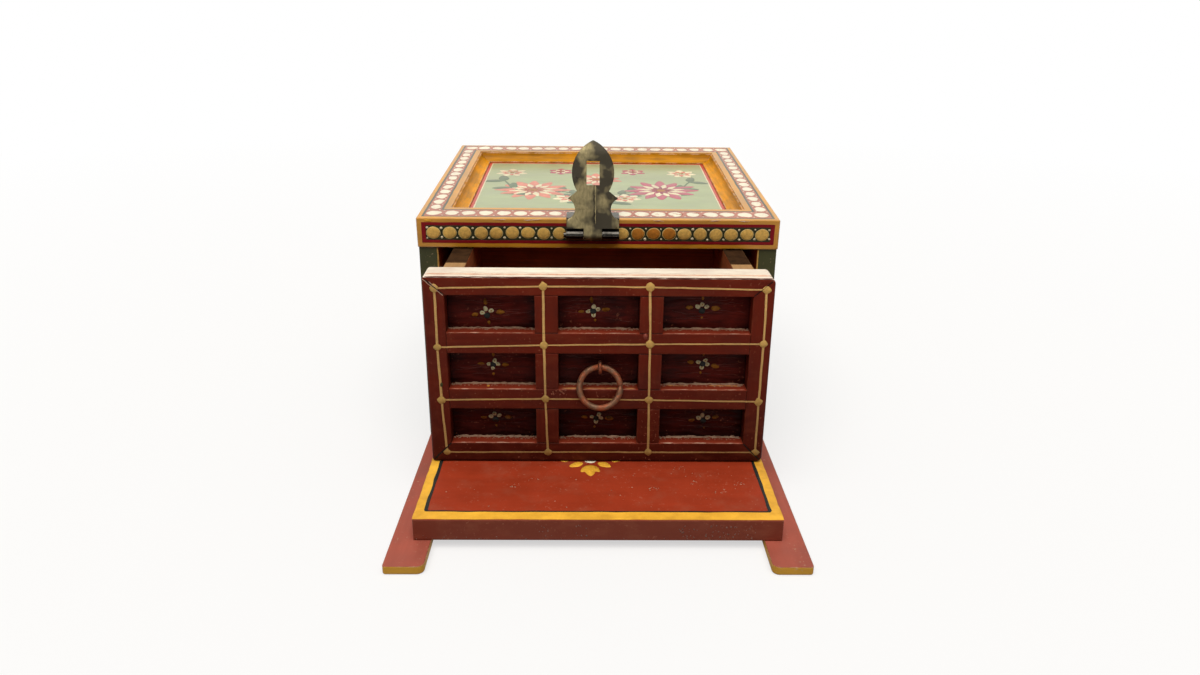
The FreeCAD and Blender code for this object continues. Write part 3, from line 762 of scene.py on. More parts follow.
class TRINKET_OT_lid(BoxOperator, bpy.types.Operator):
    """Paints the lid's frame, coves and picture board"""
    bl_idname = "trinket.lid"
    bl_label = "Lid boards"

    def execute(self, context):
        c = self.colours
        # Gold ochre paint under old varnish: warm, a little glossy, rubbed pale on its edges
        for word, brush, names in (
            ("across", (40, 6, 6), ["lid_front_rail", "lid_back_rail"]),
            ("along", (6, 40, 6), ["lid_left_stile", "lid_right_stile"]),
        ):
            rail = brushed_paint(
                "gold_ochre_" + word, c.gold, brush, spread=0.22, rough=(0.34, 0.5), worn=c.bare, wear=0.55,
                faces=[(DOWN, c.brown)], coat=0.5, edge=0.9)
            dress(names, rail)
        # Thicker gold in the coves, dragged along them with the brush; the coves along the sides are painted
        # a quarter lighter as painted light, and all have painted shade in their inner corners
        for word, brush, gold, names in (
            ("across", (26, 2.2, 2.2), c.cove, ["front_cove", "back_cove"]),
            ("along", (2.2, 26, 2.2), toned(c.cove, 1.25), ["left_cove", "right_cove"]),
        ):
            cove = brushed_paint(
                "streaked_gold_" + word, gold, brush, spread=0.38, relief=0.12, rough=(0.35, 0.55),
                worn=c.bare, wear=0.7, gloss=0.12, corners=0.3, edge=1.2)
            dress(names, cove)
        # Sage green oil paint under varnish: its gloss pales it where the light comes from behind
        picture = brushed_paint(
            "sage_oil_paint", c.sage, (30, 12, 12), spread=0.14, relief=0.04, rough=(0.34, 0.5),
            specks=c.cream, speck_share=0.3, faces=[(DOWN, c.brown)], coat=0.6)
        dress(["picture_board"], picture)
        return {"FINISHED"}


class TRINKET_OT_drawer(BoxOperator, bpy.types.Operator):
    """Paints the drawer front's bars and backing, and finishes the bare drawer box"""
    bl_idname = "trinket.drawer"
    bl_label = "Drawer boards"

    def execute(self, context):
        c = self.colours
        # Maroon oil paint, brushed along each bar and rubbed on the arrises, with painted shade towards its
        # foot and in its inner corners
        for word, brush, faces, names in (
            # The upward faces of these bars are painted a lighter red, as painted light
            ("across", (38, 5, 3), [(UP, c.ledge)], ["front_bottom_rail", "upper_muntin", "lower_muntin"]),
            ("upright", (3, 5, 38), (), upright_bars()),
            ("bare_top", (38, 5, 3), [(UP, c.bare)], ["front_top_rail"]),
        ):
            bar = brushed_paint(
                "maroon_oil_paint_" + word, c.maroon, brush, spread=0.28, relief=0.07, rough=(0.42, 0.62),
                worn=c.worn, wear=0.6, specks=c.worn, speck_share=0.5, faces=faces, foot=drawer_painted_shade,
                gloss=0.12, corners=0.5, smudge=c.bloom)
            dress(names, bar)
        # The backing's top edge was never painted, and its inside is plain wood
        backing = brushed_paint(
            "maroon_backing", c.recess, (13, 6, 2.6), spread=0.4, relief=0.1, rough=(0.4, 0.6),
            faces=[(UP, c.bare), (BACK, c.brown)], gloss=0.1)
        dress(["drawer_backing"], backing)
        # Plain softwood boards, brown with handling inside and pale where the sides meet the front
        along = brushed_paint(
            "handled_softwood_along", c.brown, (1.6, 55, 1.6), spread=0.32, relief=0.06, rough=(0.6, 0.75),
            faces=[(UP, c.stub)])
        dress(["drawer_left_side", "drawer_right_side"], along)
        cross = brushed_paint(
            "handled_softwood_across", c.brown, (55, 1.6, 1.6), spread=0.32, relief=0.06, rough=(0.6, 0.75))
        dress(["drawer_back", "drawer_divider", "drawer_bottom"], cross)
        return {"FINISHED"}


class TRINKET_OT_fittings(BoxOperator, bpy.types.Operator):
    """Finishes the hasp plate, hinges, nails and ring eye"""
    bl_idname = "trinket.fittings"
    bl_label = "Metal fittings"

    def execute(self, context):
        c = self.colours
        # Dark steel barrel, polished by turning, that mirrors the light above it and the dim room in front
        steel = aged_metal("polished_steel_barrel", c.steel, toned(c.steel, 0.4), 6, 0.55, (0.08, 0.18), 1.0)
        dress(["hasp_plate", "hasp_pin"], steel)
        # Dull iron with rust coming through
        dull = aged_metal("dull_iron", toned(c.iron, 1.5), c.rust, 5, 0.55, (0.45, 0.65), 0.8)
        parts = ("hinge_body_leaf", "hinge_lid_leaf", "hinge_pin")
        dress([side + part for side in ("left_", "right_") for part in parts], dull)
        nailed = ("body_hinge", "lid_hinge", "hasp", "runner", "side", "drawer")
        dress([place + "_nails" for place in nailed], dull)
        dress(["ring_eye"], rusty_wire("rusty_eye", c.rust, c.ring_red))
        return {"FINISHED"}


class TRINKET_OT_hasp(BoxOperator, bpy.types.Operator):
    """Makes the hasp tongue: hammered sheet with a crease up its middle and a bent tip"""
    bl_idname = "trinket.hasp"
    bl_label = "Hasp tongue"

    step = 2.4 * MM
    flat_from = 5 * MM
    crease = 0.4 * MM
    crease_width = 1.2 * MM
    crease_side = 0.8 * MM
    crease_top = 27 * MM
    bend_from = 44.5 * MM
    bend = math.tan(math.radians(13))
    dents = 0.22 * MM
    dent_size = 9 * MM
    blend = 6 * MM
    rows = 20
    columns = 24

    def execute(self, context):
        c = self.colours
        node = frame["nodes"]["hasp_tongue"]
        tongue = bpy.data.objects.new("hammered_hasp_tongue", node.data.copy())
        context.scene.collection.objects.link(tongue)
        broad = max(node.data.polygons, key=lambda face: face.area).normal
        front = broad if broad.y < 0 else -broad
        along = Vector(RIGHT).cross(front)
        along = along if along.z > 0 else -along
        pin = joint_place("hasp_hinge")
        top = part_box("hasp_tongue")[1].z
        self.divide(tongue, pin, along)
        for vertex in tongue.data.vertices:
            up = (vertex.co - pin).dot(along)
            vertex.co += front * self.hammered(vertex.co.x - pin.x, up)
            vertex.co.y += self.bend * max(0.0, up - self.bend_from)
            vertex.co.z = min(vertex.co.z, top)
        # Sheet bronze gone brown, with soft dark stains
        bronze = aged_metal(
            "stained_bronze_sheet", c.bronze, c.stain, 18, 0.475, (0.38, 0.52), 0.55, scratch=(1.2, 1.2, 7),
            soft=0.05)
        settle(tongue, bronze, "hasp")
        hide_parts("hasp_tongue")
        facing_front = [face for face in node.data.polygons if face.normal.dot(front) > 0.99]
        level = (max(facing_front, key=lambda face: face.area).center - pin).dot(front)
        self.draw_crease(face_at(pin + front * level, RIGHT, along))
        return {"FINISHED"}

    def draw_crease(self, sheet):
        """Painted shade in the crease up the middle, and a painted highlight beside it."""
        c = self.colours
        draw = random.Random(350)
        strip = model_strip(2)
        for word, shift, widths, tone in (
            ("dirty", 0.0, (0.25 * MM, 0.6 * MM), toned(c.stain, 0.4)),
            # The pale line beside the crease is a painted highlight
            ("rubbed", 0.7 * MM, (0.1 * MM, 0.4 * MM), toned(c.bronze, 1.5)),
        ):
            side = self.crease_side + shift
            line = rough_line(strip, (side, self.flat_from + MM), (side - 0.3 * MM, self.crease_top), widths,
                              FILM, draw)
            paint = film_paint("hasp_crease_" + word, tone, 0.4, (0.4, 0.6))
            lay_paint("hasp_" + word + "_crease", sheet, line, paint, "hasp", 0.1 * MM, 4 * MM,
                      self.hammered)
        discard(strip)

    def divide(self, tongue, pin, along):
        """Cuts the sheet into a net that is fine enough to bend."""
        low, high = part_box("hasp_tongue")
        clear_selection()
        bpy.context.view_layer.objects.active = tongue
        tongue.select_set(True)
        bpy.ops.object.mode_set(mode="EDIT")
        bpy.ops.mesh.select_all(action="SELECT")
        bpy.ops.mesh.remove_doubles(threshold=0.001 * MM)
        cuts = [(pin + along * (self.flat_from + self.step * index), along) for index in range(self.rows)]
        across = Vector(RIGHT)
        cuts += [(Vector((low.x + self.step * index / 2, 0, 0)), across) for index in range(1, self.columns)]
        for point, normal in cuts:
            bpy.ops.mesh.select_all(action="SELECT")
            bpy.ops.mesh.bisect(plane_co=point, plane_no=normal)
        bpy.ops.object.mode_set(mode="OBJECT")

    def hammered(self, x, up):
        """How far the sheet stands to the front of flat at a place."""
        free = min(1.0, max(0.0, (up - self.flat_from) / self.blend))
        ridge = self.crease * math.exp(-((x - self.crease_side) / self.crease_width) ** 2)
        ridge *= min(1.0, max(0.0, (self.crease_top - up) / self.blend))
        dent = self.dents * noise.noise(Vector((x, up, 0)) / self.dent_size)
        return free * (ridge + dent)


class TRINKET_OT_ring(BoxOperator, bpy.types.Operator):
    """Makes the pull ring: hand-forged wire, uneven, with its two ends butted at the right"""
    bl_idname = "trinket.ring"
    bl_label = "Pull ring"

    around = 96
    section = 14
    stout = 1.08
    wider = 1.016
    uneven = 0.14
    butt_angle = math.radians(3)
    butt_width = math.radians(9)
    butt_depth = 0.45
    butt_sharp = 2.2
    pits = 0.08
    pit_size = 1.6 * MM
    swell_size = 5 * MM

    def execute(self, context):
        low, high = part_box("pull_ring")
        middle = (low + high) / 2
        hang = joint_place("ring_swing") - middle
        radius = hang.length
        wire = high.x - middle.x - radius
        lean = math.atan2(hang.z, hang.y)
        clear_selection()
        bpy.ops.mesh.primitive_torus_add(
            major_segments=self.around, minor_segments=self.section, major_radius=radius, minor_radius=wire)
        ring = context.object
        ring.name = "forged_pull_ring"
        place = Matrix.Translation(middle) @ Matrix.Rotation(lean, 4, "X")
        for vertex in ring.data.vertices:
            vertex.co = place @ self.forged(vertex.co, radius)
        c = self.colours
        settle(ring, rusty_wire("rusty_ring", c.wire, c.ring_red), "ring")
        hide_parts("pull_ring")
        return {"FINISHED"}

    def forged(self, point, radius):
        """A point of a true ring moved to where the hammer left it."""
        angle = math.atan2(point.y, point.x)
        core = Vector((math.cos(angle), math.sin(angle), 0)) * radius
        away = point - core
        core *= self.wider
        swell = self.stout - self.uneven * (0.5 + 0.5 * noise.noise(core / self.swell_size))
        swell -= self.pits * abs(noise.noise(point / self.pit_size))
        turn = (angle - self.butt_angle + math.pi) % (2 * math.pi) - math.pi
        swell *= 1 - self.butt_depth * math.exp(-(turn / self.butt_width * self.butt_sharp) ** 2)
        return core + away * swell


class TRINKET_OT_lid_edge(BoxOperator, bpy.types.Operator):
    """Paints lines and a row of dots on the lid's edges"""
    bl_idname = "trinket.lid_edge"
    bl_label = "Lid edge ornament"

    gold_end = 2.8 * MM
    gold_low = 2.4 * MM
    gold_high = 2.5 * MM
    red_end = 2.25 * MM
    red_row = 1.75 * MM
    rim = 0.3 * MM
    rim_height = 0.1
    dot_height = 0.16
    pearl_off = 2.8
    thin = 0.65
    browner = (13, 14, 15)
    nicks = (-57, -40, -36, 31, 62, 78)

    def execute(self, context):
        c = self.colours
        paints = {
            "red": film_paint("red_edge_line", c.lid_red),
            "ground": film_paint("dark_edge_ground", c.lid_ground),
            "rim": film_paint("pale_dot_rims", c.rim, 0.2),
            "tan": film_paint("tan_dots", c.tan, 0.34, (0.35, 0.55), 1.4),
            "amber": film_paint("amber_dots", c.amber, 0.3, (0.35, 0.55), 2.2),
            "cream": film_paint("cream_dots", c.cream),
        }
        motifs = model_dab(), model_strip(64, 2)
        edges = (
            ("front", lid_front_face, lid_half, self.sizes.edge_dots, self.browner, 1.0),
            ("right", lid_right_face, lid_depth / 2, self.sizes.edge_dots - 1, (), self.thin),
            ("back", lid_back_face, lid_half, 0, (), 1.0),
            ("left", lid_left_face, lid_depth / 2, self.sizes.edge_dots - 1, (), self.thin),
        )
        for seed, (word, face, half, dots, browner, body) in enumerate(edges):
            self.paint_edge(word, face, half, dots, browner, body, paints, motifs, seed)
        self.wear(motifs[0])
        discard(*motifs)
        return {"FINISHED"}

    def paint_edge(self, word, face, half, dots, browner, body, paints, motifs, seed):
        """One edge: a red line round a dark ground, and dots with pearls between them.

        body says how thick the paint of the dots is, and browner which dots are amber.
        """
        draw = random.Random(100 + seed)
        dab, strip = motifs
        low = (-half + self.gold_end, self.gold_low)
        high = (half - self.gold_end, lid_thick - self.gold_high)
        band = frame_band(strip, low, high, (self.red_end, self.red_row), FILM)
        lay_paint("lid_" + word + "_red_line", face, band, paints["red"], "lid", 0.2 * MM)
        low = (low[0] + self.red_end, low[1] + self.red_row)
        high = (high[0] - self.red_end, high[1] - self.red_row)
        corners = (low, (high[0], low[1]), high, (low[0], high[1]))
        ground = [spread(strip, corners, FILM)]
        lay_paint("lid_" + word + "_dark_ground", face, ground, paints["ground"], "lid")
        if not dots:
            return
        pitch = (high[0] - low[0]) / dots
        middle = (low[1] + high[1]) / 2
        stamps = {"rim": [], "tan": [], "amber": [], "cream": []}
        for index in range(dots):
            u = low[0] + pitch * (index + 0.5) + draw.uniform(-0.25, 0.25) * MM
            v = middle + draw.uniform(-0.2, 0.2) * MM
            wide = self.sizes.edge_dot_width / 2 * draw.uniform(0.95, 1.05)
            tall = self.sizes.edge_dot_height / 2 * draw.uniform(0.95, 1.05)
            stamps["rim"].append(placed(dab, u, v, wide, tall, self.rim_height * body * MM))
            paint = "amber" if index in browner else "tan"
            stamps[paint].append(placed(dab, u, v, wide - self.rim, tall - self.rim,
                                        self.dot_height * body * MM))
        for index in range(dots + 1):
            inset = self.sizes.pearl if index == 0 else -self.sizes.pearl if index == dots else 0
            for way in (-1, 1):
                radius = self.sizes.pearl * draw.uniform(0.7, 1.2)
                u = low[0] + pitch * index + inset + draw.uniform(-0.2, 0.2) * MM
                v = middle + way * (self.pearl_off + draw.uniform(-0.25, 0.25)) * MM
                stamps["cream"].append(placed(dab, u, v, radius, radius * draw.uniform(0.8, 1.1),
                                              self.dot_height * body * MM))
        for paint, copies in stamps.items():
            if copies:
                name = "lid_" + word + "_" + paint + "_dots"
                lay_paint(name, face, copies, paints[paint], "lid", 0.2 * MM, 5 * MM)

    def wear(self, dab):
        """Nicks along the front's upper arris, and a touched-up corner."""
        c = self.colours
        draw = random.Random(150)
        strip = model_strip(4)
        dark = []
        pale = []
        for place in self.nicks:
            start = place * MM
            end = start + draw.uniform(3, 6) * MM
            level = lid_thick - draw.uniform(0.9, 1.4) * MM
            dark += rough_line(strip, (start, level), (end, level), (0.15 * MM, 0.5 * MM), FILM, draw)
            level += 0.5 * MM
            pale += rough_line(strip, (start - MM, level), (end + MM, level), (0.1 * MM, 0.35 * MM), FILM,
                               draw)
        lay_paint("lid_arris_nicks", lid_front_face, dark, film_paint("nicked_gold", c.brown), "lid")
        lay_paint("lid_arris_chips", lid_front_face, pale, film_paint("chipped_gold", c.bare), "lid")
        corner = -lid_half + 5.5 * MM
        level = lid_thick - 1.6 * MM
        patch = [placed(dab, corner + step * MM, level, 1.1 * MM, 0.65 * MM, FILM) for step in range(3)]
        lay_paint("lid_yellow_patch", lid_front_face, patch, film_paint("yellow_patch", c.yellow), "lid")
        discard(strip)


class TRINKET_OT_lid_top(BoxOperator, bpy.types.Operator):
    """Paints the bands and the ring of dots on top of the lid"""
    bl_idname = "trinket.lid_top"
    bl_label = "Lid top ornament"

    gold_outer = 2.6 * MM
    slate_line = 1.2 * MM
    gold_inner = 3.6 * MM
    varnish = 0.6
    dot_height = 0.12 * MM
    scratches = 16

    def execute(self, context):
        c = self.colours
        draw = random.Random(200)
        slate = film_paint("slate_line", c.slate, coat=self.varnish)
        field = film_paint("red_brown_field", c.lid_field, 0.22, grain=4, coat=self.varnish)
        cream = film_paint("cream_top_dots", c.top_cream, 0.14, coat=self.varnish)
        scratched = film_paint("scratched_dots", c.brown, 0.3)
        dab = model_dab()
        strip = model_strip(48, 2)
        short = model_strip(4)
        low = (-lid_half + self.gold_outer, self.gold_outer)
        high = (lid_half - self.gold_outer, lid_depth - self.gold_outer)
        bands = frame_band(strip, low, high, self.slate_line, FILM)
        field_low = (low[0] + self.slate_line, low[1] + self.slate_line)
        field_high = (high[0] - self.slate_line, high[1] - self.slate_line)
        taken = self.gold_outer + 2 * self.slate_line + self.gold_inner
        field_u = lid_stile - taken
        field_v = lid_rail - taken
        fields = frame_band(strip, field_low, field_high, (field_u, field_v), FILM)
        inner_low = (field_low[0] + field_u, field_low[1] + field_v)
        inner_high = (field_high[0] - field_u, field_high[1] - field_v)
        bands += frame_band(strip, inner_low, inner_high, self.slate_line, FILM)
        lay_paint("lid_top_slate_lines", lid_top_face, bands, slate, "lid", 0.25 * MM)
        lay_paint("lid_top_red_field", lid_top_face, fields, field, "lid", 0.1 * MM)
        dots, pearls = self.dot_ring(dab, field_low, field_high, field_u, field_v, draw)
        lay_paint("lid_top_cream_dots", lid_top_face, dots, cream, "lid", 0.9 * MM, 3 * MM)
        lay_paint("lid_top_pearls", lid_top_face, pearls, cream, "lid")
        scratches = []
        for _ in range(self.scratches):
            u = draw.uniform(18, 60) * MM
            v = field_low[1] + draw.uniform(0.25, 0.75) * field_v
            end = (u + draw.uniform(1, 4) * MM, v + draw.uniform(-1, 1) * MM)
            scratches += rough_line(short, (u, v), end, (0.12 * MM, 0.5 * MM), 0.18 * MM, draw)
        lay_paint("lid_top_scratches", lid_top_face, scratches, scratched, "lid")
        discard(dab, strip, short)
        return {"FINISHED"}

    def dot_ring(self, dab, low, high, field_u, field_v, draw):
        """Dots along the two rails and the two stiles, with pearls between them."""
        dots = []
        pearls = []
        count = self.sizes.top_dots
        pitch = (high[0] - low[0]) / count
        pearl = self.sizes.pearl * 0.75
        for v in (low[1] + field_v / 2, high[1] - field_v / 2):
            for index in range(count):
                u = low[0] + pitch * (index + 0.5) + draw.uniform(-0.3, 0.3) * MM
                long = field_v * 0.35 * draw.uniform(0.9, 1.06)
                wide = pitch * 0.41 * draw.uniform(0.92, 1.06)
                dots.append(placed(dab, u, v + draw.uniform(-0.3, 0.3) * MM, wide, long, self.dot_height))
                if index:
                    for way in (-1, 1):
                        pearls.append(placed(dab, u - pitch / 2, v + way * field_v * 0.37, pearl, pearl,
                                             self.dot_height))
        start = low[1] + field_v
        side_pitch = (high[1] - low[1] - 2 * field_v) / self.sizes.side_dots
        for u in (low[0] + field_u / 2, high[0] - field_u / 2):
            for index in range(self.sizes.side_dots):
                v = start + side_pitch * (index + 0.5)
                wide = field_u * 0.37 * draw.uniform(0.92, 1.06)
                dots.append(placed(dab, u, v, wide, side_pitch * 0.4 * draw.uniform(0.94, 1.06),
                                   self.dot_height))
                for way in (-1, 1):
                    pearls.append(placed(dab, u + way * field_u * 0.38, v - side_pitch / 2, pearl, pearl,
                                         self.dot_height))
        return dots, pearls


class TRINKET_OT_picture(BoxOperator, bpy.types.Operator):
    """Paints the fillets round the picture and a spray of flowers in it"""
    bl_idname = "trinket.picture"
    bl_label = "Lid picture"

    red_fillet = 2.0 * MM
    cream_line = 0.8 * MM
    varnish = 0.6

    def execute(self, context):
        c = self.colours
        draw = random.Random(300)
        self.motifs = {"dab": model_dab(16), "leaf": model_leaf(), "strip": model_strip(4),
                       "long": model_strip(48)}
        half = lid_half - lid_stile - cove_width
        low = (-half, lid_rail + cove_width)
        high = (half, lid_depth - lid_rail - cove_width)
        for word, width, colour in (("red_fillet", self.red_fillet, c.fillet),
                                    ("cream_line", self.cream_line, c.cream)):
            band = frame_band(self.motifs["long"], low, high, width, 0.06 * MM)
            paint = film_paint("picture_" + word + "_paint", colour, coat=self.varnish)
            lay_paint("picture_" + word, picture_face, band, paint, "lid")
            low = (low[0] + width, low[1] + width)
            high = (high[0] - width, high[1] - width)
        self.layers = {"leaf": [], "salmon": [], "rose": [], "cream": [], "ochre": []}
        middle = (low[1] + high[1]) / 2
        self.stems(low[1] + 14 * MM, draw)
        self.flower(0, middle + 20 * MM, 17 * MM, 10, "salmon", draw)
        for way, word in ((-1, "salmon"), (1, "rose")):
            self.flower(way * 41 * MM, middle - 8 * MM, 24 * MM, 12, word, draw)
            self.flower(way * 17 * MM, middle - 28 * MM, 11 * MM, 7, "cream", draw)
            self.flower(way * 25 * MM, middle + 42 * MM, 9 * MM, 6, "rose", draw)
            self.flower(way * 58 * MM, middle + 38 * MM, 11 * MM, 7, "cream", draw)
        for word, stamps in self.layers.items():
            paint = film_paint("picture_" + word + "_paint", getattr(c, word), 0.22, grain=2.5,
                               coat=self.varnish)
            lay_paint("picture_" + word, picture_face, stamps, paint, "lid", 0.5 * MM,
                      6 * MM)
        discard(*self.motifs.values())
        return {"FINISHED"}

    def flower(self, u, v, radius, petals, word, draw):
        """A round flower: outer petals, cream inner petals and an ochre heart."""
        leaf = self.motifs["leaf"]
        inner = "salmon" if word == "cream" else "cream"
        rings = ((word, 0.0, 1.0, 0.62, 0.06), (inner, 0.5, 0.66, 0.34, 0.10), (word, 0.0, 0.4, 0.22, 0.14))
        for colour, shift, reach, fill, height in rings:
            for index in range(petals):
                turn = 2 * math.pi * (index + shift) / petals + draw.uniform(-0.06, 0.06)
                wide = 2 * math.pi * radius * fill / petals
                long = radius * reach * draw.uniform(0.93, 1.05)
                self.layers[colour].append(placed(leaf, u, v, wide, long, height * MM, turn))
        self.layers["ochre"].append(placed(self.motifs["dab"], u, v, radius * 0.13, radius * 0.13, 0.2 * MM))

    def stems(self, low, draw):
        """Two curling stems from the middle of the lower edge, with leaves in pairs."""
        for way in (-1, 1):
            points = []
            for index in range(25):
                t = index / 24
                points.append((way * (2 + 62 * t) * MM, low + (74 * t + 17 * math.sin(2 * math.pi * t)) * MM))
            self.layers["leaf"] += ribbon(self.motifs["strip"], points, [1.4 * MM] * len(points), 0.04 * MM)
            for index in range(2, 24, 3):
                u, v = points[index]
                for side in (-1, 1):
                    turn = way * (-0.9 + side * 0.85) + draw.uniform(-0.2, 0.2)
                    size = draw.uniform(11, 15) * MM
                    self.layers["leaf"].append(placed(self.motifs["leaf"], u, v, size * 0.45, size, FILM,
                                                      turn))


class TRINKET_OT_recesses(BoxOperator, bpy.types.Operator):
    """Roughens the recesses of the drawer front, lays dust and wear on their ledges, and paints sheen on
    their ridges and highlights along the ledges' front arrises
    """
    bl_idname = "trinket.recesses"
    bl_label = "Recesses"

    rows = ("low", "middle", "high")
    spot_at = 20 * MM
    streaks = 12
    ledge_specks = 70
    corner_specks = 16

    def execute(self, context):
        c = self.colours
        draw = random.Random(450)
        sheet = model_strip(64, 28)
        strip = model_strip(2)
        dab = model_dab(8)
        # Thick, uneven maroon over rough-sawn wood, with painted shade in its inner corners and towards its
        # foot
        rough = brushed_paint(
            "maroon_over_rough_wood", c.recess, (10, 6, 1.8), spread=0.6, relief=0.14, rough=(0.34, 0.6),
            specks=c.worn, speck_share=0.4, foot=recess_painted_shade, gloss=0.07, corners=0.85)
        dust = film_paint("ledge_dust", c.dirt, 0.4, (0.75, 0.95), 0.9)
        # The pale line and chips along each ledge's front arris are rubbed and chipped paint, also painted
        # paler as a highlight
        arris = film_paint("worn_arris", c.speck, 0.35, (0.5, 0.7), 1.2)
        bare = film_paint("bare_arris", c.chipped, 0.4, (0.5, 0.7), 2)
        chip = film_paint("chipped_arris", c.chip, 0.4, (0.5, 0.7), 1.2)
        # Ridges of the grain, painted paler as a painted sheen where the gloss of the thick paint catches the
        # light
        ridge = film_paint("rubbed_ridges", c.ridge, 0.6, (0.4, 0.6), 3, foot=recess_painted_shade)
        for row, (low, high) in enumerate(recess_rows):
            ledge = face_at((0, recess_y, low), RIGHT, BACK)
            front = drawer_low.y - recess_y + 0.5 * MM
            panels = []
            heaps = []
            crust = []
            edges = []
            chips = []
            ridges = []
            for column, (left, right) in enumerate(recess_columns):
                panels.append(self.panel(sheet, (left, low), (right, high)))
                ridges += self.grain(strip, (left, low), (right, high), draw)
                back = -MM
                start = left + draw.uniform(0.5, 5) * MM
                end = right - draw.uniform(0.5, 5) * MM
                heaps += rough_line(strip, (start, back), (end, back), (0.2 * MM, 2.6 * MM), 0.1 * MM, draw,
                                    stray=0.5 * MM)
                heaps += scatter(dab, draw, self.ledge_specks, (left + MM, -4 * MM), (right - MM, -0.8 * MM),
                                 (0.1 * MM, 0.4 * MM), 0.16 * MM)
                foot = low + 0.2 * MM
                crust += rough_line(strip, (start, foot), (end, foot), (0.05 * MM, 0.9 * MM), 0.08 * MM, draw)
                # Chips along the front arris, painted pale as highlights as well as chips
                for _ in range(draw.randint(2, 4)):
                    start = draw.uniform(left + MM, right - 8 * MM)
                    chips += rough_line(strip, (start, front), (start + draw.uniform(2, 7) * MM, front),
                                        (0.3 * MM, 1.1 * MM), 0.09 * MM, draw)
                for side in (left + 2.2 * MM, right - 2.2 * MM):
                    heaps += scatter(dab, draw, self.corner_specks, (side - 1.8 * MM, -3 * MM),
                                     (side + 1.8 * MM, -0.6 * MM), (0.15 * MM, 0.5 * MM), 0.25 * MM)
                # A pale line along the front arris: rubbed paint, painted paler as a highlight
                edges += rough_line(strip, (left + MM, front), (right - MM, front), (0.15 * MM, 0.7 * MM),
                                    FILM, draw)
            word = self.rows[row]
            lay_paint("rough_" + word + "_panels", recess_face, panels, rough, "drawer", 0.0)
            lay_paint("ridged_" + word + "_panels", recess_face, ridges, ridge, "drawer",
                      0.2 * MM, 2 * MM, gouged)
            lay_paint("dusty_" + word + "_ledges", ledge, heaps, dust, "drawer", 0.15 * MM,
                      1.5 * MM)
            lay_paint("crusted_" + word + "_panels", recess_face, crust, dust, "drawer",
                      0.3 * MM, 1.2 * MM, gouged)
            lay_paint("worn_" + word + "_ledges", ledge, edges, arris, "drawer", 0.1 * MM,
                      2 * MM)
            lay_paint("chipped_" + word + "_ledges", ledge, chips, chip, "drawer", 0.1 * MM,
                      2 * MM)
            if row == 1:
                left, right = recess_columns[1]
                strips = []
                for start, end, widest in ((2, 10, 2.4), (13, 25, 1.0), (25, 31, 2.4), (35, 40, 2.0)):
                    strips += rough_line(strip, (left + start * MM, front + 1.2 * MM),
                                         (left + end * MM, front + 1.2 * MM),
                                         (0.5 * widest * MM, widest * MM), 0.07 * MM, draw)
                left, right = recess_columns[2]
                for start, end in ((4, 15), (26, 42)):
                    strips += rough_line(strip, (left + start * MM, -2.6 * MM), (left + end * MM, -3 * MM),
                                         (0.5 * MM, 1.6 * MM), 0.07 * MM, draw)
                lay_paint("bare_middle_ledges", ledge, strips, bare, "drawer", 0.1 * MM,
                          2 * MM)
                spot = [placed(dab, recess_columns[0][0] + self.spot_at, front / 2, 0.8 * MM, 1.1 * MM,
                               0.06 * MM)]
                lay_paint("yellow_ledge_spot", ledge, spot, film_paint("yellow_spot", c.yellow), "drawer")
        discard(sheet, strip, dab)
        return {"FINISHED"}

    def grain(self, strip, low, high, draw):
        """Thin streaks of painted sheen that wander across one recess with the grain."""
        streaks = []
        for _ in range(self.streaks):
            start = draw.uniform(low[0] + 2 * MM, high[0] - 16 * MM)
            end = min(high[0] - 2 * MM, start + draw.uniform(8, 22) * MM)
            level = draw.uniform(low[1] + 5 * MM, high[1] - 1.5 * MM)
            rise = draw.uniform(-1.5, 2.5) * MM
            rise = min(max(rise, low[1] + 3 * MM - level), high[1] - MM - level)
            streaks += rough_line(strip, (start, level), (end, level + rise), (0.06 * MM, 0.3 * MM),
                                  0.06 * MM, draw, 2.2 * MM, 0.35 * MM)
        return streaks

    def panel(self, sheet, low, high):
        """A rough board face that fills one recess."""
        inset = 0.05 * MM

        def shape(p):
            u = low[0] + inset + (high[0] - low[0] - 2 * inset) * (p.x + 0.5)
            v = low[1] + inset + (high[1] - low[1] - 2 * inset) * (p.y + 0.5)
            return Vector((u, v, p.z * gouged(u, v) - SINK))

        return sheet, shape


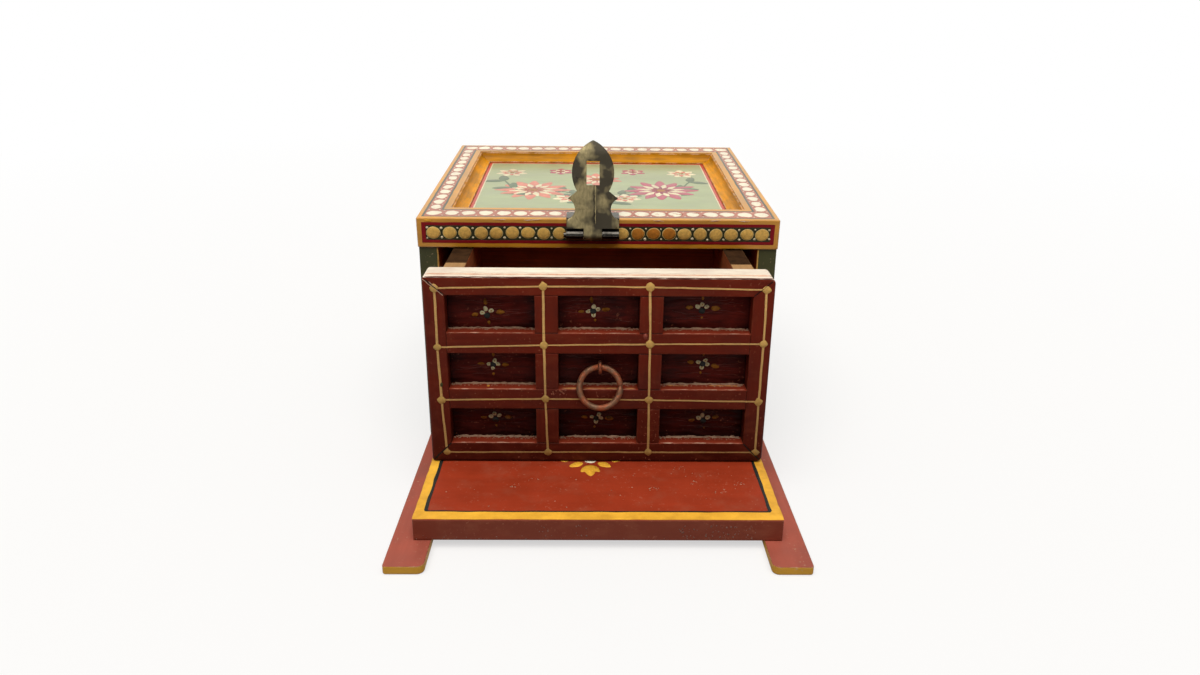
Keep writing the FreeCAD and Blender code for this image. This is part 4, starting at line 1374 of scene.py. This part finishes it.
class TRINKET_OT_drawer_lines(BoxOperator, bpy.types.Operator):
    """Paints gold lines and knots on the drawer front, and draws its open mitres and stray marks"""
    bl_idname = "trinket.drawer_lines"
    bl_label = "Drawer lines"

    edge_inset = 5.4 * MM
    top_inset = 4.9 * MM
    low_inset = 5.6 * MM
    # How far the painter's knots stray from the bars' middles, right and up in millimetres, lowest row first
    strays = (
        ((2.6, -0.2), (0.1, -0.1), (0.4, 0.1), (1.5, 0.1)),
        ((1.3, -0.7), (-1.0, 0.2), (-0.1, -0.2), (1.2, -1.0)),
        ((0.6, -2.3), (-1.4, -0.9), (-0.4, -0.1), (1.5, 0.3)),
        ((0.6, -1.0), (-1.4, 0.3), (-1.2, 0.2), (0.9, -0.9)),
    )

    def execute(self, context):
        c = self.colours
        draw = random.Random(400)
        # The lines and knots darken towards the drawer's foot with the same painted shade
        gold = film_paint("gold_line_paint", c.line_gold, 0.22, (0.35, 0.55), foot=drawer_painted_shade)
        thick = film_paint("gold_knot_paint", c.knot_gold, 0.25, (0.35, 0.55), foot=drawer_painted_shade)
        strip = model_strip(4)
        knot = model_knot()
        dab = model_dab(12)
        places = self.places()
        lines = []
        for row in places:
            for start, end in zip(row, row[1:]):
                lines += hand_line(strip, start, end, self.sizes.gold_line * 0.85, FILM, draw)
        for column in zip(*places):
            for start, end in zip(column, column[1:]):
                lines += hand_line(strip, start, end, self.sizes.gold_line * 1.2, FILM, draw)
        lay_paint("drawer_gold_lines", drawer_face, lines, gold, "drawer")
        knots = []
        for row in places:
            for u, v in row:
                size = self.sizes.knot * draw.uniform(0.92, 1.08) * (1.08 if row is places[-1] else 1.0)
                knots.append(placed(knot, u, v, size, size * draw.uniform(0.92, 1.1), 0.12 * MM,
                                    draw.uniform(-0.1, 0.1)))
        lay_paint("drawer_gold_knots", drawer_face, knots, thick, "drawer", 0.35 * MM, 1.8 * MM)
        self.open_mitres(strip, draw)
        self.stray_marks(strip, dab, draw)
        discard(strip, knot, dab)
        return {"FINISHED"}

    def places(self):
        """Where the knots are, row by row from the lowest."""
        columns = [drawer_low.x + self.edge_inset]
        columns += [(recess_columns[at][1] + recess_columns[at + 1][0]) / 2 for at in (0, 1)]
        columns += [drawer_high.x - self.edge_inset]
        rows = [drawer_low.z + self.low_inset]
        rows += [(recess_rows[at][1] + recess_rows[at + 1][0]) / 2 for at in (0, 1)]
        rows += [drawer_high.z - self.top_inset]
        return [[(u + stray[0] * MM, v + stray[1] * MM) for u, stray in zip(columns, row)]
                for v, row in zip(rows, self.strays)]

    def open_mitres(self, strip, draw):
        """Open mitres: a dark line from each outer corner to the recess, with pale edges at one."""
        c = self.colours
        dark = film_paint("open_mitre", toned(c.ink, 0.3))
        pale = film_paint("raw_mitre", c.chip)
        widths = {(-1, 1): 0.4 * MM, (1, 1): 0.15 * MM, (-1, -1): 0.55 * MM, (1, -1): 0.45 * MM}
        cracks = []
        for (side, level), width in widths.items():
            outer = Vector((drawer_high.x if side > 0 else drawer_low.x,
                            drawer_high.z if level > 0 else drawer_low.z))
            inner = Vector((recess_columns[2][1] if side > 0 else recess_columns[0][0],
                            recess_rows[2][1] if level > 0 else recess_rows[0][0]))
            cracks += hand_line(strip, outer.lerp(inner, 0.15), outer.lerp(inner, 0.97), width, 0.17 * MM,
                                draw, 2 * MM, 0.15 * MM)
            if side < 0 < level:
                line = []
                for across, start, end in ((-0.45, 0.08, 0.5), (0.4, 0.3, 0.6), (-0.35, 0.7, 0.98)):
                    edge = Vector((across, across * 0.8)) * MM
                    line += hand_line(strip, outer.lerp(inner, start) + edge, outer.lerp(inner, end) + edge,
                                      0.32 * MM, 0.16 * MM, draw, 2 * MM)
                lay_paint("drawer_raw_mitre", drawer_face, line, pale, "drawer")
        # Hairline cracks where the short bars butt against the long ones
        for column in (0, 1):
            left = recess_columns[column][1]
            right = recess_columns[column + 1][0]
            for low, high in recess_rows:
                for level in (low, high):
                    if draw.random() < 0.6:
                        cracks += hand_line(strip, (left, level), (right, level), 0.14 * MM, FILM, draw,
                                            2 * MM, 0.1 * MM)
        lay_paint("drawer_open_joints", drawer_face, cracks, dark, "drawer")

    def stray_marks(self, strip, dab, draw):
        """Scuffs beside the ring, and drops of other paints."""
        c = self.colours
        left = recess_columns[1][0]
        low = recess_rows[1][0]
        scuffs = scatter(dab, draw, 26, (left - 4 * MM, low - 3 * MM), (left + 4 * MM, low - 0.3 * MM),
                         (0.1 * MM, 0.45 * MM), 0.04 * MM)
        scuffs += scatter(dab, draw, 60, (drawer_low.x + 3 * MM, low - 8 * MM),
                          (drawer_high.x - 3 * MM, low - 0.5 * MM), (0.06 * MM, 0.2 * MM), 0.04 * MM)
        scuffs += scatter(dab, draw, 40, (recess_columns[1][1] + MM, drawer_low.z + 12 * MM),
                          (recess_columns[2][0] - MM, low), (0.06 * MM, 0.22 * MM), 0.04 * MM)
        lay_paint("drawer_scuffs", drawer_face, scuffs, film_paint("scuffed_paint", c.worn), "drawer")
        drop = [placed(dab, drawer_low.x + 7 * MM, low + 2.4 * MM, 0.8 * MM, 1.3 * MM, 0.1 * MM)]
        lay_paint("drawer_green_drop", drawer_face, drop, film_paint("green_drop", c.green), "drawer")
        smear = [placed(dab, recess_columns[1][1] + 3 * MM, recess_rows[2][0] - 1.5 * MM, 1.1 * MM, 1.7 * MM,
                        FILM)]
        lay_paint("drawer_pink_smear", drawer_face, smear, film_paint("pink_smear", c.runner), "drawer")


class TRINKET_OT_flowers(BoxOperator, bpy.types.Operator):
    """Paints a small flower in each recess of the drawer front but the middle one, where the ring hangs"""
    bl_idname = "trinket.flowers"
    bl_label = "Recess flowers"

    # How far each flower's heart strays from its recess's middle, right and up in millimetres, lowest row
    # first; the ring hangs in the middle recess
    strays = (
        ((0.3, 0.0), (-0.8, 0.9), (1.7, -0.6)),
        ((-0.1, 0.4), None, (-0.2, 1.5)),
        ((-2.3, -3.3), (-2.9, -0.7), (-2.0, -0.1)),
    )

    def execute(self, context):
        c = self.colours
        draw = random.Random(500)
        dab = model_dab(14)
        leaf = model_leaf()
        stamps = {"petals": [], "middles": [], "leaves": [], "hearts": []}
        for row, (low, high) in enumerate(recess_rows):
            for column, (left, right) in enumerate(recess_columns):
                stray = self.strays[row][column]
                if stray is None:
                    continue
                u = (left + right) / 2 + stray[0] * MM
                v = (low + high) / 2 + stray[1] * MM
                self.flower(stamps, dab, leaf, u, v, (row + column) % 2 == 0, draw)
        for word, colour in (("petals", c.petal), ("middles", c.middle), ("leaves", c.ochre),
                             ("hearts", c.ink)):
            # The flowers darken towards the drawer's foot with the same painted shade
            paint = film_paint("recess_" + word + "_paint", colour, 0.25, foot=drawer_painted_shade)
            lay_paint("recess_" + word, recess_face, stamps[word], paint, "drawer", 0.3 * MM,
                      2 * MM, gouged)
        discard(dab, leaf)
        return {"FINISHED"}

    def flower(self, stamps, dab, leaf, u, v, three, draw):
        """Three or four petals round a dark heart, with leaves round them."""
        tilt = draw.uniform(-14, 14)
        stamps["hearts"].append(placed(dab, u, v, 1.6 * MM, 1.6 * MM, 0.14 * MM))
        v += (1.5 if three else 0.3) * MM
        for turn in (90, 15, 165) if three else (75, 0, 180, 270):
            angle = math.radians(turn + tilt + draw.uniform(-8, 8))
            reach = draw.uniform(2.2, 2.6) * MM
            size = draw.uniform(1.3, 1.5) * MM
            petal = (u + reach * math.cos(angle), v + 0.85 * reach * math.sin(angle))
            stamps["petals"].append(placed(dab, *petal, size, size * 0.8, 0.1 * MM, angle))
            stamps["middles"].append(placed(dab, *petal, size * 0.36, size * 0.24, 0.15 * MM, angle))
        for turn, start, long, wide in ((0, 4.6, 4.2, 2.2), (180, 4.6, 3.8, 1.9), (90, 4.4, 2.9, 1.6),
                                        (270, 4.6, 1.6, 1.2)):
            angle = math.radians(turn + tilt / 2 + draw.uniform(-6, 6))
            grow = draw.uniform(0.8, 1.15)
            stamps["leaves"].append(placed(leaf, u + start * MM * math.cos(angle),
                                           v + start * MM * math.sin(angle), wide * grow * MM,
                                           long * grow * MM, 0.08 * MM, angle - math.pi / 2))


class TRINKET_OT_drawer_top(BoxOperator, bpy.types.Operator):
    """Shows the glue line on the drawer front's bare top, and paints the lid's shadow on the tops of the
    drawer's sides
    """
    bl_idname = "trinket.drawer_top"
    bl_label = "Drawer top"

    # Each line along the top: its name, its distance from the front, its height, its least and most width,
    # and its colour
    seams = (
        ("drawer_glue_halo", 5.6 * MM, FILM, (2.8 * MM, 4.2 * MM), "halo"),
        ("drawer_glue_line", 5.2 * MM, 0.1 * MM, (0.5 * MM, 1.5 * MM), "glue"),
        ("drawer_lapped_maroon", 0.5 * MM, 0.06 * MM, (0.5 * MM, 1.3 * MM), "maroon"),
    )
    pale_length = 8.5 * MM

    def execute(self, context):
        c = self.colours
        draw = random.Random(800)
        strip = model_strip(2)
        wide = model_strip(24, 2)
        face = face_at((0, 0, drawer_high.z), RIGHT, BACK)
        ends = (drawer_low.x + 1.5 * MM, drawer_high.x - 1.5 * MM)
        for word, from_front, height, widths, tone in self.seams:
            level = drawer_low.y + from_front
            line = rough_line(strip, (ends[0], level), (ends[1], level), widths, height, draw, 3 * MM)
            paint = film_paint(word + "_paint", getattr(c, tone), 0.2, (0.55, 0.75), 4)
            lay_paint(word, face, line, paint, "drawer", 0.2 * MM)
        tops = []
        start = chamber_y + self.pale_length
        for name in ("drawer_left_side", "drawer_right_side"):
            low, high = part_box(name)
            corners = ((low.x, start), (high.x, start), (high.x, high.y), (low.x, high.y))
            tops.append(spread(wide, corners, FILM))
        # Painted shadow of the lid on the sides' tops behind their pale front ends: dark brown, uneven in
        # places
        dark = film_paint("dark_stained_tops", c.side_top_shadow, 0.6, (0.85, 1.0), 5, gloss=0.05)
        lay_paint("drawer_dark_side_tops", face, tops, dark, "drawer", 0.15 * MM)
        discard(strip, wide)
        return {"FINISHED"}


class TRINKET_OT_porch(BoxOperator, bpy.types.Operator):
    """Paints the border and the rosette on the porch, and its specks and scuffs"""
    bl_idname = "trinket.porch"
    bl_label = "Porch ornament"

    corner = 1.4 * MM
    rosette_at = (-3.9 * MM, -92 * MM)
    loose_drops = 34
    drop_clusters = 7
    cluster_drops = 9
    loose_scuffs = 40
    scuff_clusters = 8
    cluster_scuffs = 12

    def execute(self, context):
        c = self.colours
        draw = random.Random(600)
        yellow = film_paint("yellow_border_paint", c.yellow, 0.26, (0.4, 0.58), 7)
        ink = film_paint("black_border_line", c.ink, 0.5)
        long = model_strip(96, 2)
        strip = model_strip(3)
        low = (porch_low.x, porch_low.y + 0.4 * MM)
        high = (porch_high.x, carcass_low.y - 0.3 * MM)
        border = frame_band(long, low, high, (self.sizes.porch_border, self.sizes.porch_front), 0.04 * MM)
        lay_paint("porch_yellow_border", porch_face, border, yellow, "carcass", 0.3 * MM,
                  7 * MM)
        inner_low = (low[0] + self.sizes.porch_border, low[1] + self.sizes.porch_front)
        inner_high = (high[0] - self.sizes.porch_border, high[1] - self.sizes.porch_front)
        points = self.rounded(inner_low, inner_high)
        widths = [self.sizes.porch_line * draw.uniform(0.8, 1.2) for _ in points]
        for index, point in enumerate(points):
            widths[index] *= 1.35 if abs(point.x) > inner_high[0] - MM else 0.8
        line = ribbon(strip, points, widths, 0.06 * MM, True)
        lay_paint("porch_black_line", porch_face, line, ink, "carcass", 0.3 * MM, 9 * MM)
        self.rosette(yellow)
        self.specks(inner_low, inner_high, draw)
        discard(long, strip)
        return {"FINISHED"}

    def rounded(self, low, high):
        """Points round a rectangle with rounded corners, close enough for an unsteady line."""
        centres = [(high[0], high[1], 0), (low[0], high[1], 90), (low[0], low[1], 180),
                   (high[0], low[1], 270)]
        points = []
        for u, v, start in centres:
            middle_u = u - math.copysign(self.corner, u)
            middle_v = v - self.corner if v == high[1] else v + self.corner
            for step in range(4):
                angle = math.radians(start + 30 * step)
                points.append(Vector((middle_u + self.corner * math.cos(angle),
                                      middle_v + self.corner * math.sin(angle))))
        full = []
        for index, point in enumerate(points):
            after = points[(index + 1) % len(points)]
            count = max(1, round((after - point).length / (6 * MM)))
            full += [point.lerp(after, step / count) for step in range(count)]
        return full

    def rosette(self, yellow):
        """Two trefoils, four slanting petals and two outer petals round a white heart."""
        c = self.colours
        leaf = model_leaf()
        dab = model_dab()
        u, v = self.rosette_at
        reach = self.sizes.rosette
        # Each petal: its direction, its start, length and width as shares of the reach, and its lean
        petals = []
        for way in (90, 270):
            petals += [(way, 0.32, 0.68, 0.33, 0), (way, 0.36, 0.48, 0.24, 34), (way, 0.36, 0.48, 0.24, -34)]
        petals += [(way, 0.3, 0.46, 0.27, 0) for way in (36, 144, 216, 324)]
        petals += [(way, 0.62, 0.33, 0.27, 0) for way in (0, 180)]
        stamps = []
        for way, start, long, wide, lean in petals:
            angle = math.radians(way)
            stamps.append(placed(leaf, u + reach * start * math.cos(angle),
                                 v + reach * start * math.sin(angle), reach * wide, reach * long, FILM,
                                 angle + math.radians(lean) - math.pi / 2))
        lay_paint("porch_rosette_petals", porch_face, stamps, yellow, "carcass", 0.25 * MM,
                  3 * MM)
        heart = [placed(dab, u, v, reach * 0.2, reach * 0.2, 0.06 * MM)]
        white = film_paint("white_rosette_heart", c.top_cream)
        lay_paint("porch_rosette_heart", porch_face, heart, white, "carcass", 0.2 * MM, 4 * MM)
        discard(leaf, dab)

    def specks(self, low, high, draw):
        """Drops of pale paint and dust on the porch, and scuffs along the foot of its front edge."""
        c = self.colours
        dab = model_dab(10)
        front = drawer_low.y - 2 * MM
        drops = scatter(dab, draw, self.loose_drops, (low[0] + 4 * MM, low[1] + 3 * MM),
                        (high[0] - 4 * MM, front), (0.12 * MM, 0.5 * MM), FILM)
        for _ in range(self.drop_clusters):
            u = draw.uniform(low[0] + 8 * MM, high[0] - 8 * MM)
            v = draw.uniform(low[1] + 8 * MM, front)
            drops += scatter(dab, draw, self.cluster_drops, (u - 3 * MM, v - 2 * MM),
                             (u + 3 * MM, v + 2 * MM), (0.1 * MM, 0.6 * MM), FILM)
        lay_paint("porch_pale_specks", porch_face, drops, film_paint("pale_specks", c.speck), "carcass")
        edge = face_at((0, porch_low.y, 0), RIGHT, UP)
        foot = porch_low.z + 0.6 * MM
        scuffs = scatter(dab, draw, self.loose_scuffs, (porch_low.x + MM, foot),
                         (porch_high.x - MM, foot + 2.5 * MM), (0.1 * MM, 0.4 * MM), FILM)
        for _ in range(self.scuff_clusters):
            u = draw.uniform(porch_low.x + 4 * MM, porch_high.x - 4 * MM)
            scuffs += scatter(dab, draw, self.cluster_scuffs, (u - 4 * MM, foot + MM),
                              (u + 4 * MM, foot + 8 * MM), (0.08 * MM, 0.5 * MM), FILM)
        lay_paint("porch_front_scuffs", edge, scuffs, film_paint("front_scuffs", c.grime_and_shade, 0.3), "carcass")
        discard(dab)


class TRINKET_OT_sides(BoxOperator, bpy.types.Operator):
    """Paints the bare inner edges and a gold line on the carcass sides"""
    bl_idname = "trinket.sides"
    bl_label = "Side ornament"

    border_inset = 9 * MM
    edge_line = 0.7 * MM

    def execute(self, context):
        c = self.colours
        draw = random.Random(700)
        strip = model_strip(4)
        bare = film_paint("bare_edge", c.tan, 0.3)
        gold = film_paint("side_gold_line", c.line_gold, 0.2)
        edges = []
        for side in (-1, 1):
            u = side * (side_inner + self.edge_line / 2)
            edges += hand_line(strip, (u, porch_high.z), (u, lid_under() - 0.6 * MM), self.edge_line, FILM,
                               draw)
        lay_paint("bare_side_edges", side_edge_face, edges, bare, "carcass", 0.15 * MM, 3 * MM)
        for word, face, way in (("left", left_side_face, -1), ("right", right_side_face, 1)):
            front = way * (carcass_low.y + self.border_inset)
            back = way * (carcass_high.y - self.border_inset)
            low = carcass_low.z + self.border_inset
            front_top = side_top(carcass_low.y + self.border_inset) - self.border_inset
            back_top = side_top(carcass_high.y - self.border_inset) - self.border_inset
            corners = [(front, low), (back, low), (back, back_top), (front, front_top)]
            lines = []
            for index, start in enumerate(corners):
                lines += hand_line(strip, start, corners[(index + 1) % 4], self.sizes.gold_line, FILM, draw)
            lay_paint(word + "_side_gold_line", face, lines, gold, "carcass")
        discard(strip)
        return {"FINISHED"}


class TRINKET_OT_stage(BoxOperator, bpy.types.Operator):
    """Sets the pale floor, the soft light and the camera"""
    bl_idname = "trinket.stage"
    bl_label = "Stage"

    floor_size = 12.0
    floor_grey = (0.3, 0.3, 0.3, 1)
    floor_pale = (0.86, 0.86, 0.86, 1)
    fade_from = 0.3
    fade_to = 1.4
    white = (1, 1, 1, 1)
    warm = (1, 0.97, 0.88, 1)
    room_share = 0.4
    lamp_place = (0, -0.4, 1.2)
    lamp_turn = (math.radians(20), math.radians(-3), 0)
    lamp_colour = (1.0, 0.96, 0.9)
    lamp_energy = 2.6
    lamp_angle = math.radians(60)
    eye = (-5.68 * MM, -518.5 * MM, 245.73 * MM)
    tilt = math.radians(20.453)
    yaw = math.radians(0.852)
    roll = math.radians(0.609)
    picture_width = 1200
    focal_pixels = 887.34
    sensor_width = 36
    nearest = 0.01

    def execute(self, context):
        self.floor()
        self.lamp()
        self.surround()
        self.camera()
        context.scene.view_settings.view_transform = "Standard"
        return {"FINISHED"}

    def floor(self):
        """A wide pale floor that fades to white for the camera and keeps the box's shadow."""
        clear_selection()
        bpy.ops.mesh.primitive_plane_add(size=self.floor_size)
        floor = bpy.context.object
        floor.name = "pale_floor"
        material = bpy.data.materials.new("pale_studio_floor")
        material.use_nodes = True
        tree = material.node_tree
        tree.nodes.clear()
        path = add(tree, "LightPath")
        matt = add(tree, "BsdfDiffuse", {"Color": self.floor_grey})
        glow = add(tree, "Emission", {"Color": self.white, "Strength": 1.0})
        pale = add(tree, "BsdfDiffuse", {"Color": self.floor_pale})
        away = add(tree, "VectorMath", {0: add(tree, "TexCoord").outputs["Object"]},
                   operation="LENGTH").outputs["Value"]
        fade = between(tree, away, self.fade_from, self.fade_to, 0.6, 1.0)
        seen = add(tree, "MixShader", {0: fade, 1: pale.outputs[0], 2: glow.outputs[0]})
        mix = add(tree, "MixShader", {0: looked_at(tree, path), 1: matt.outputs[0], 2: seen.outputs[0]})
        add(tree, "OutputMaterial", {"Surface": mix.outputs[0]})
        floor.data.materials.append(material)

    def lamp(self):
        """A broad soft light from above, a little to the front."""
        clear_selection()
        bpy.ops.object.light_add(type="SUN", location=self.lamp_place, rotation=self.lamp_turn)
        lamp = bpy.context.object
        lamp.name = "overhead_softbox"
        lamp.data.color = self.lamp_colour
        lamp.data.energy = self.lamp_energy
        lamp.data.angle = self.lamp_angle

    def surround(self):
        """White for the camera; for the box a pale room, bright above and behind and dim in front."""
        world = bpy.data.worlds.new("pale_surround")
        bpy.context.scene.world = world
        world.use_nodes = True
        tree = world.node_tree
        tree.nodes.clear()
        path = add(tree, "LightPath")
        way = add(tree, "SeparateXYZ", {0: add(tree, "TexCoord").outputs["Generated"]})
        above = between(tree, way.outputs["Z"], 0.1, 0.8, 0.06, 1.0)
        behind = between(tree, way.outputs["Y"], 0.1, 0.6, 0.0, 1.0)
        room = add(tree, "Math", {0: above, 1: behind}, operation="MAXIMUM").outputs[0]
        dim = times(tree, room, self.room_share)
        soft = add(tree, "Background", {"Color": self.white, "Strength": dim})
        shine = add(tree, "Background", {"Color": self.warm, "Strength": room})
        white = add(tree, "Background", {"Color": self.white, "Strength": 1.0})
        mirrored = add(tree, "MixShader", {0: looked_at(tree, path), 1: soft.outputs[0], 2: shine.outputs[0]})
        seen = add(tree, "MixShader",
                   {0: path.outputs["Is Camera Ray"], 1: mirrored.outputs[0], 2: white.outputs[0]})
        add(tree, "OutputWorld", {"Surface": seen.outputs[0]})

    def camera(self):
        """The eye, where the photograph's edges put it."""
        clear_selection()
        bpy.ops.object.camera_add(location=self.eye)
        camera = bpy.context.object
        ahead = Vector((
            math.sin(self.yaw) * math.cos(self.tilt),
            math.cos(self.yaw) * math.cos(self.tilt),
            -math.sin(self.tilt),
        ))
        level = ahead.cross(Vector(UP)).normalized()
        upright = level.cross(ahead)
        right = level * math.cos(self.roll) + upright * math.sin(self.roll)
        up = upright * math.cos(self.roll) - level * math.sin(self.roll)
        turn = Matrix((right, up, -ahead)).transposed().to_4x4()
        camera.matrix_world = Matrix.Translation(self.eye) @ turn
        camera.data.sensor_width = self.sensor_width
        camera.data.lens = camera.data.sensor_width * self.focal_pixels / self.picture_width
        camera.data.clip_start = self.nearest
        bpy.context.scene.camera = camera


class TRINKET_PT_panel(bpy.types.Panel):
    """Lists the box's operators"""
    bl_idname = "TRINKET_PT_panel"
    bl_label = "Trinket Box"
    bl_space_type = "VIEW_3D"
    bl_region_type = "UI"
    bl_category = "Trinket Box"

    def draw(self, context):
        for operator in operators:
            self.layout.operator(operator.bl_idname)


operators = (
    TRINKET_OT_carcass,
    TRINKET_OT_lid,
    TRINKET_OT_drawer,
    TRINKET_OT_fittings,
    TRINKET_OT_hasp,
    TRINKET_OT_ring,
    TRINKET_OT_lid_edge,
    TRINKET_OT_lid_top,
    TRINKET_OT_picture,
    TRINKET_OT_recesses,
    TRINKET_OT_drawer_lines,
    TRINKET_OT_flowers,
    TRINKET_OT_drawer_top,
    TRINKET_OT_porch,
    TRINKET_OT_sides,
    TRINKET_OT_stage,
)
classes = (TrinketBoxColours, TrinketBoxSizes) + operators + (TRINKET_PT_panel,)


def register():
    for entry in classes:
        bpy.utils.register_class(entry)
    bpy.types.Scene.trinket_colours = bpy.props.PointerProperty(type=TrinketBoxColours)
    bpy.types.Scene.trinket_sizes = bpy.props.PointerProperty(type=TrinketBoxSizes)


def unregister():
    del bpy.types.Scene.trinket_sizes
    del bpy.types.Scene.trinket_colours
    for entry in reversed(classes):
        bpy.utils.unregister_class(entry)


def main():
    register()
    bpy.ops.trinket.carcass()
    bpy.ops.trinket.lid()
    bpy.ops.trinket.drawer()
    bpy.ops.trinket.fittings()
    bpy.ops.trinket.hasp()
    bpy.ops.trinket.ring()
    bpy.ops.trinket.lid_edge()
    bpy.ops.trinket.lid_top()
    bpy.ops.trinket.picture()
    bpy.ops.trinket.recesses()
    bpy.ops.trinket.drawer_lines()
    bpy.ops.trinket.flowers()
    bpy.ops.trinket.drawer_top()
    bpy.ops.trinket.porch()
    bpy.ops.trinket.sides()
    bpy.ops.trinket.stage()


if __name__ == "__main__":
    main()
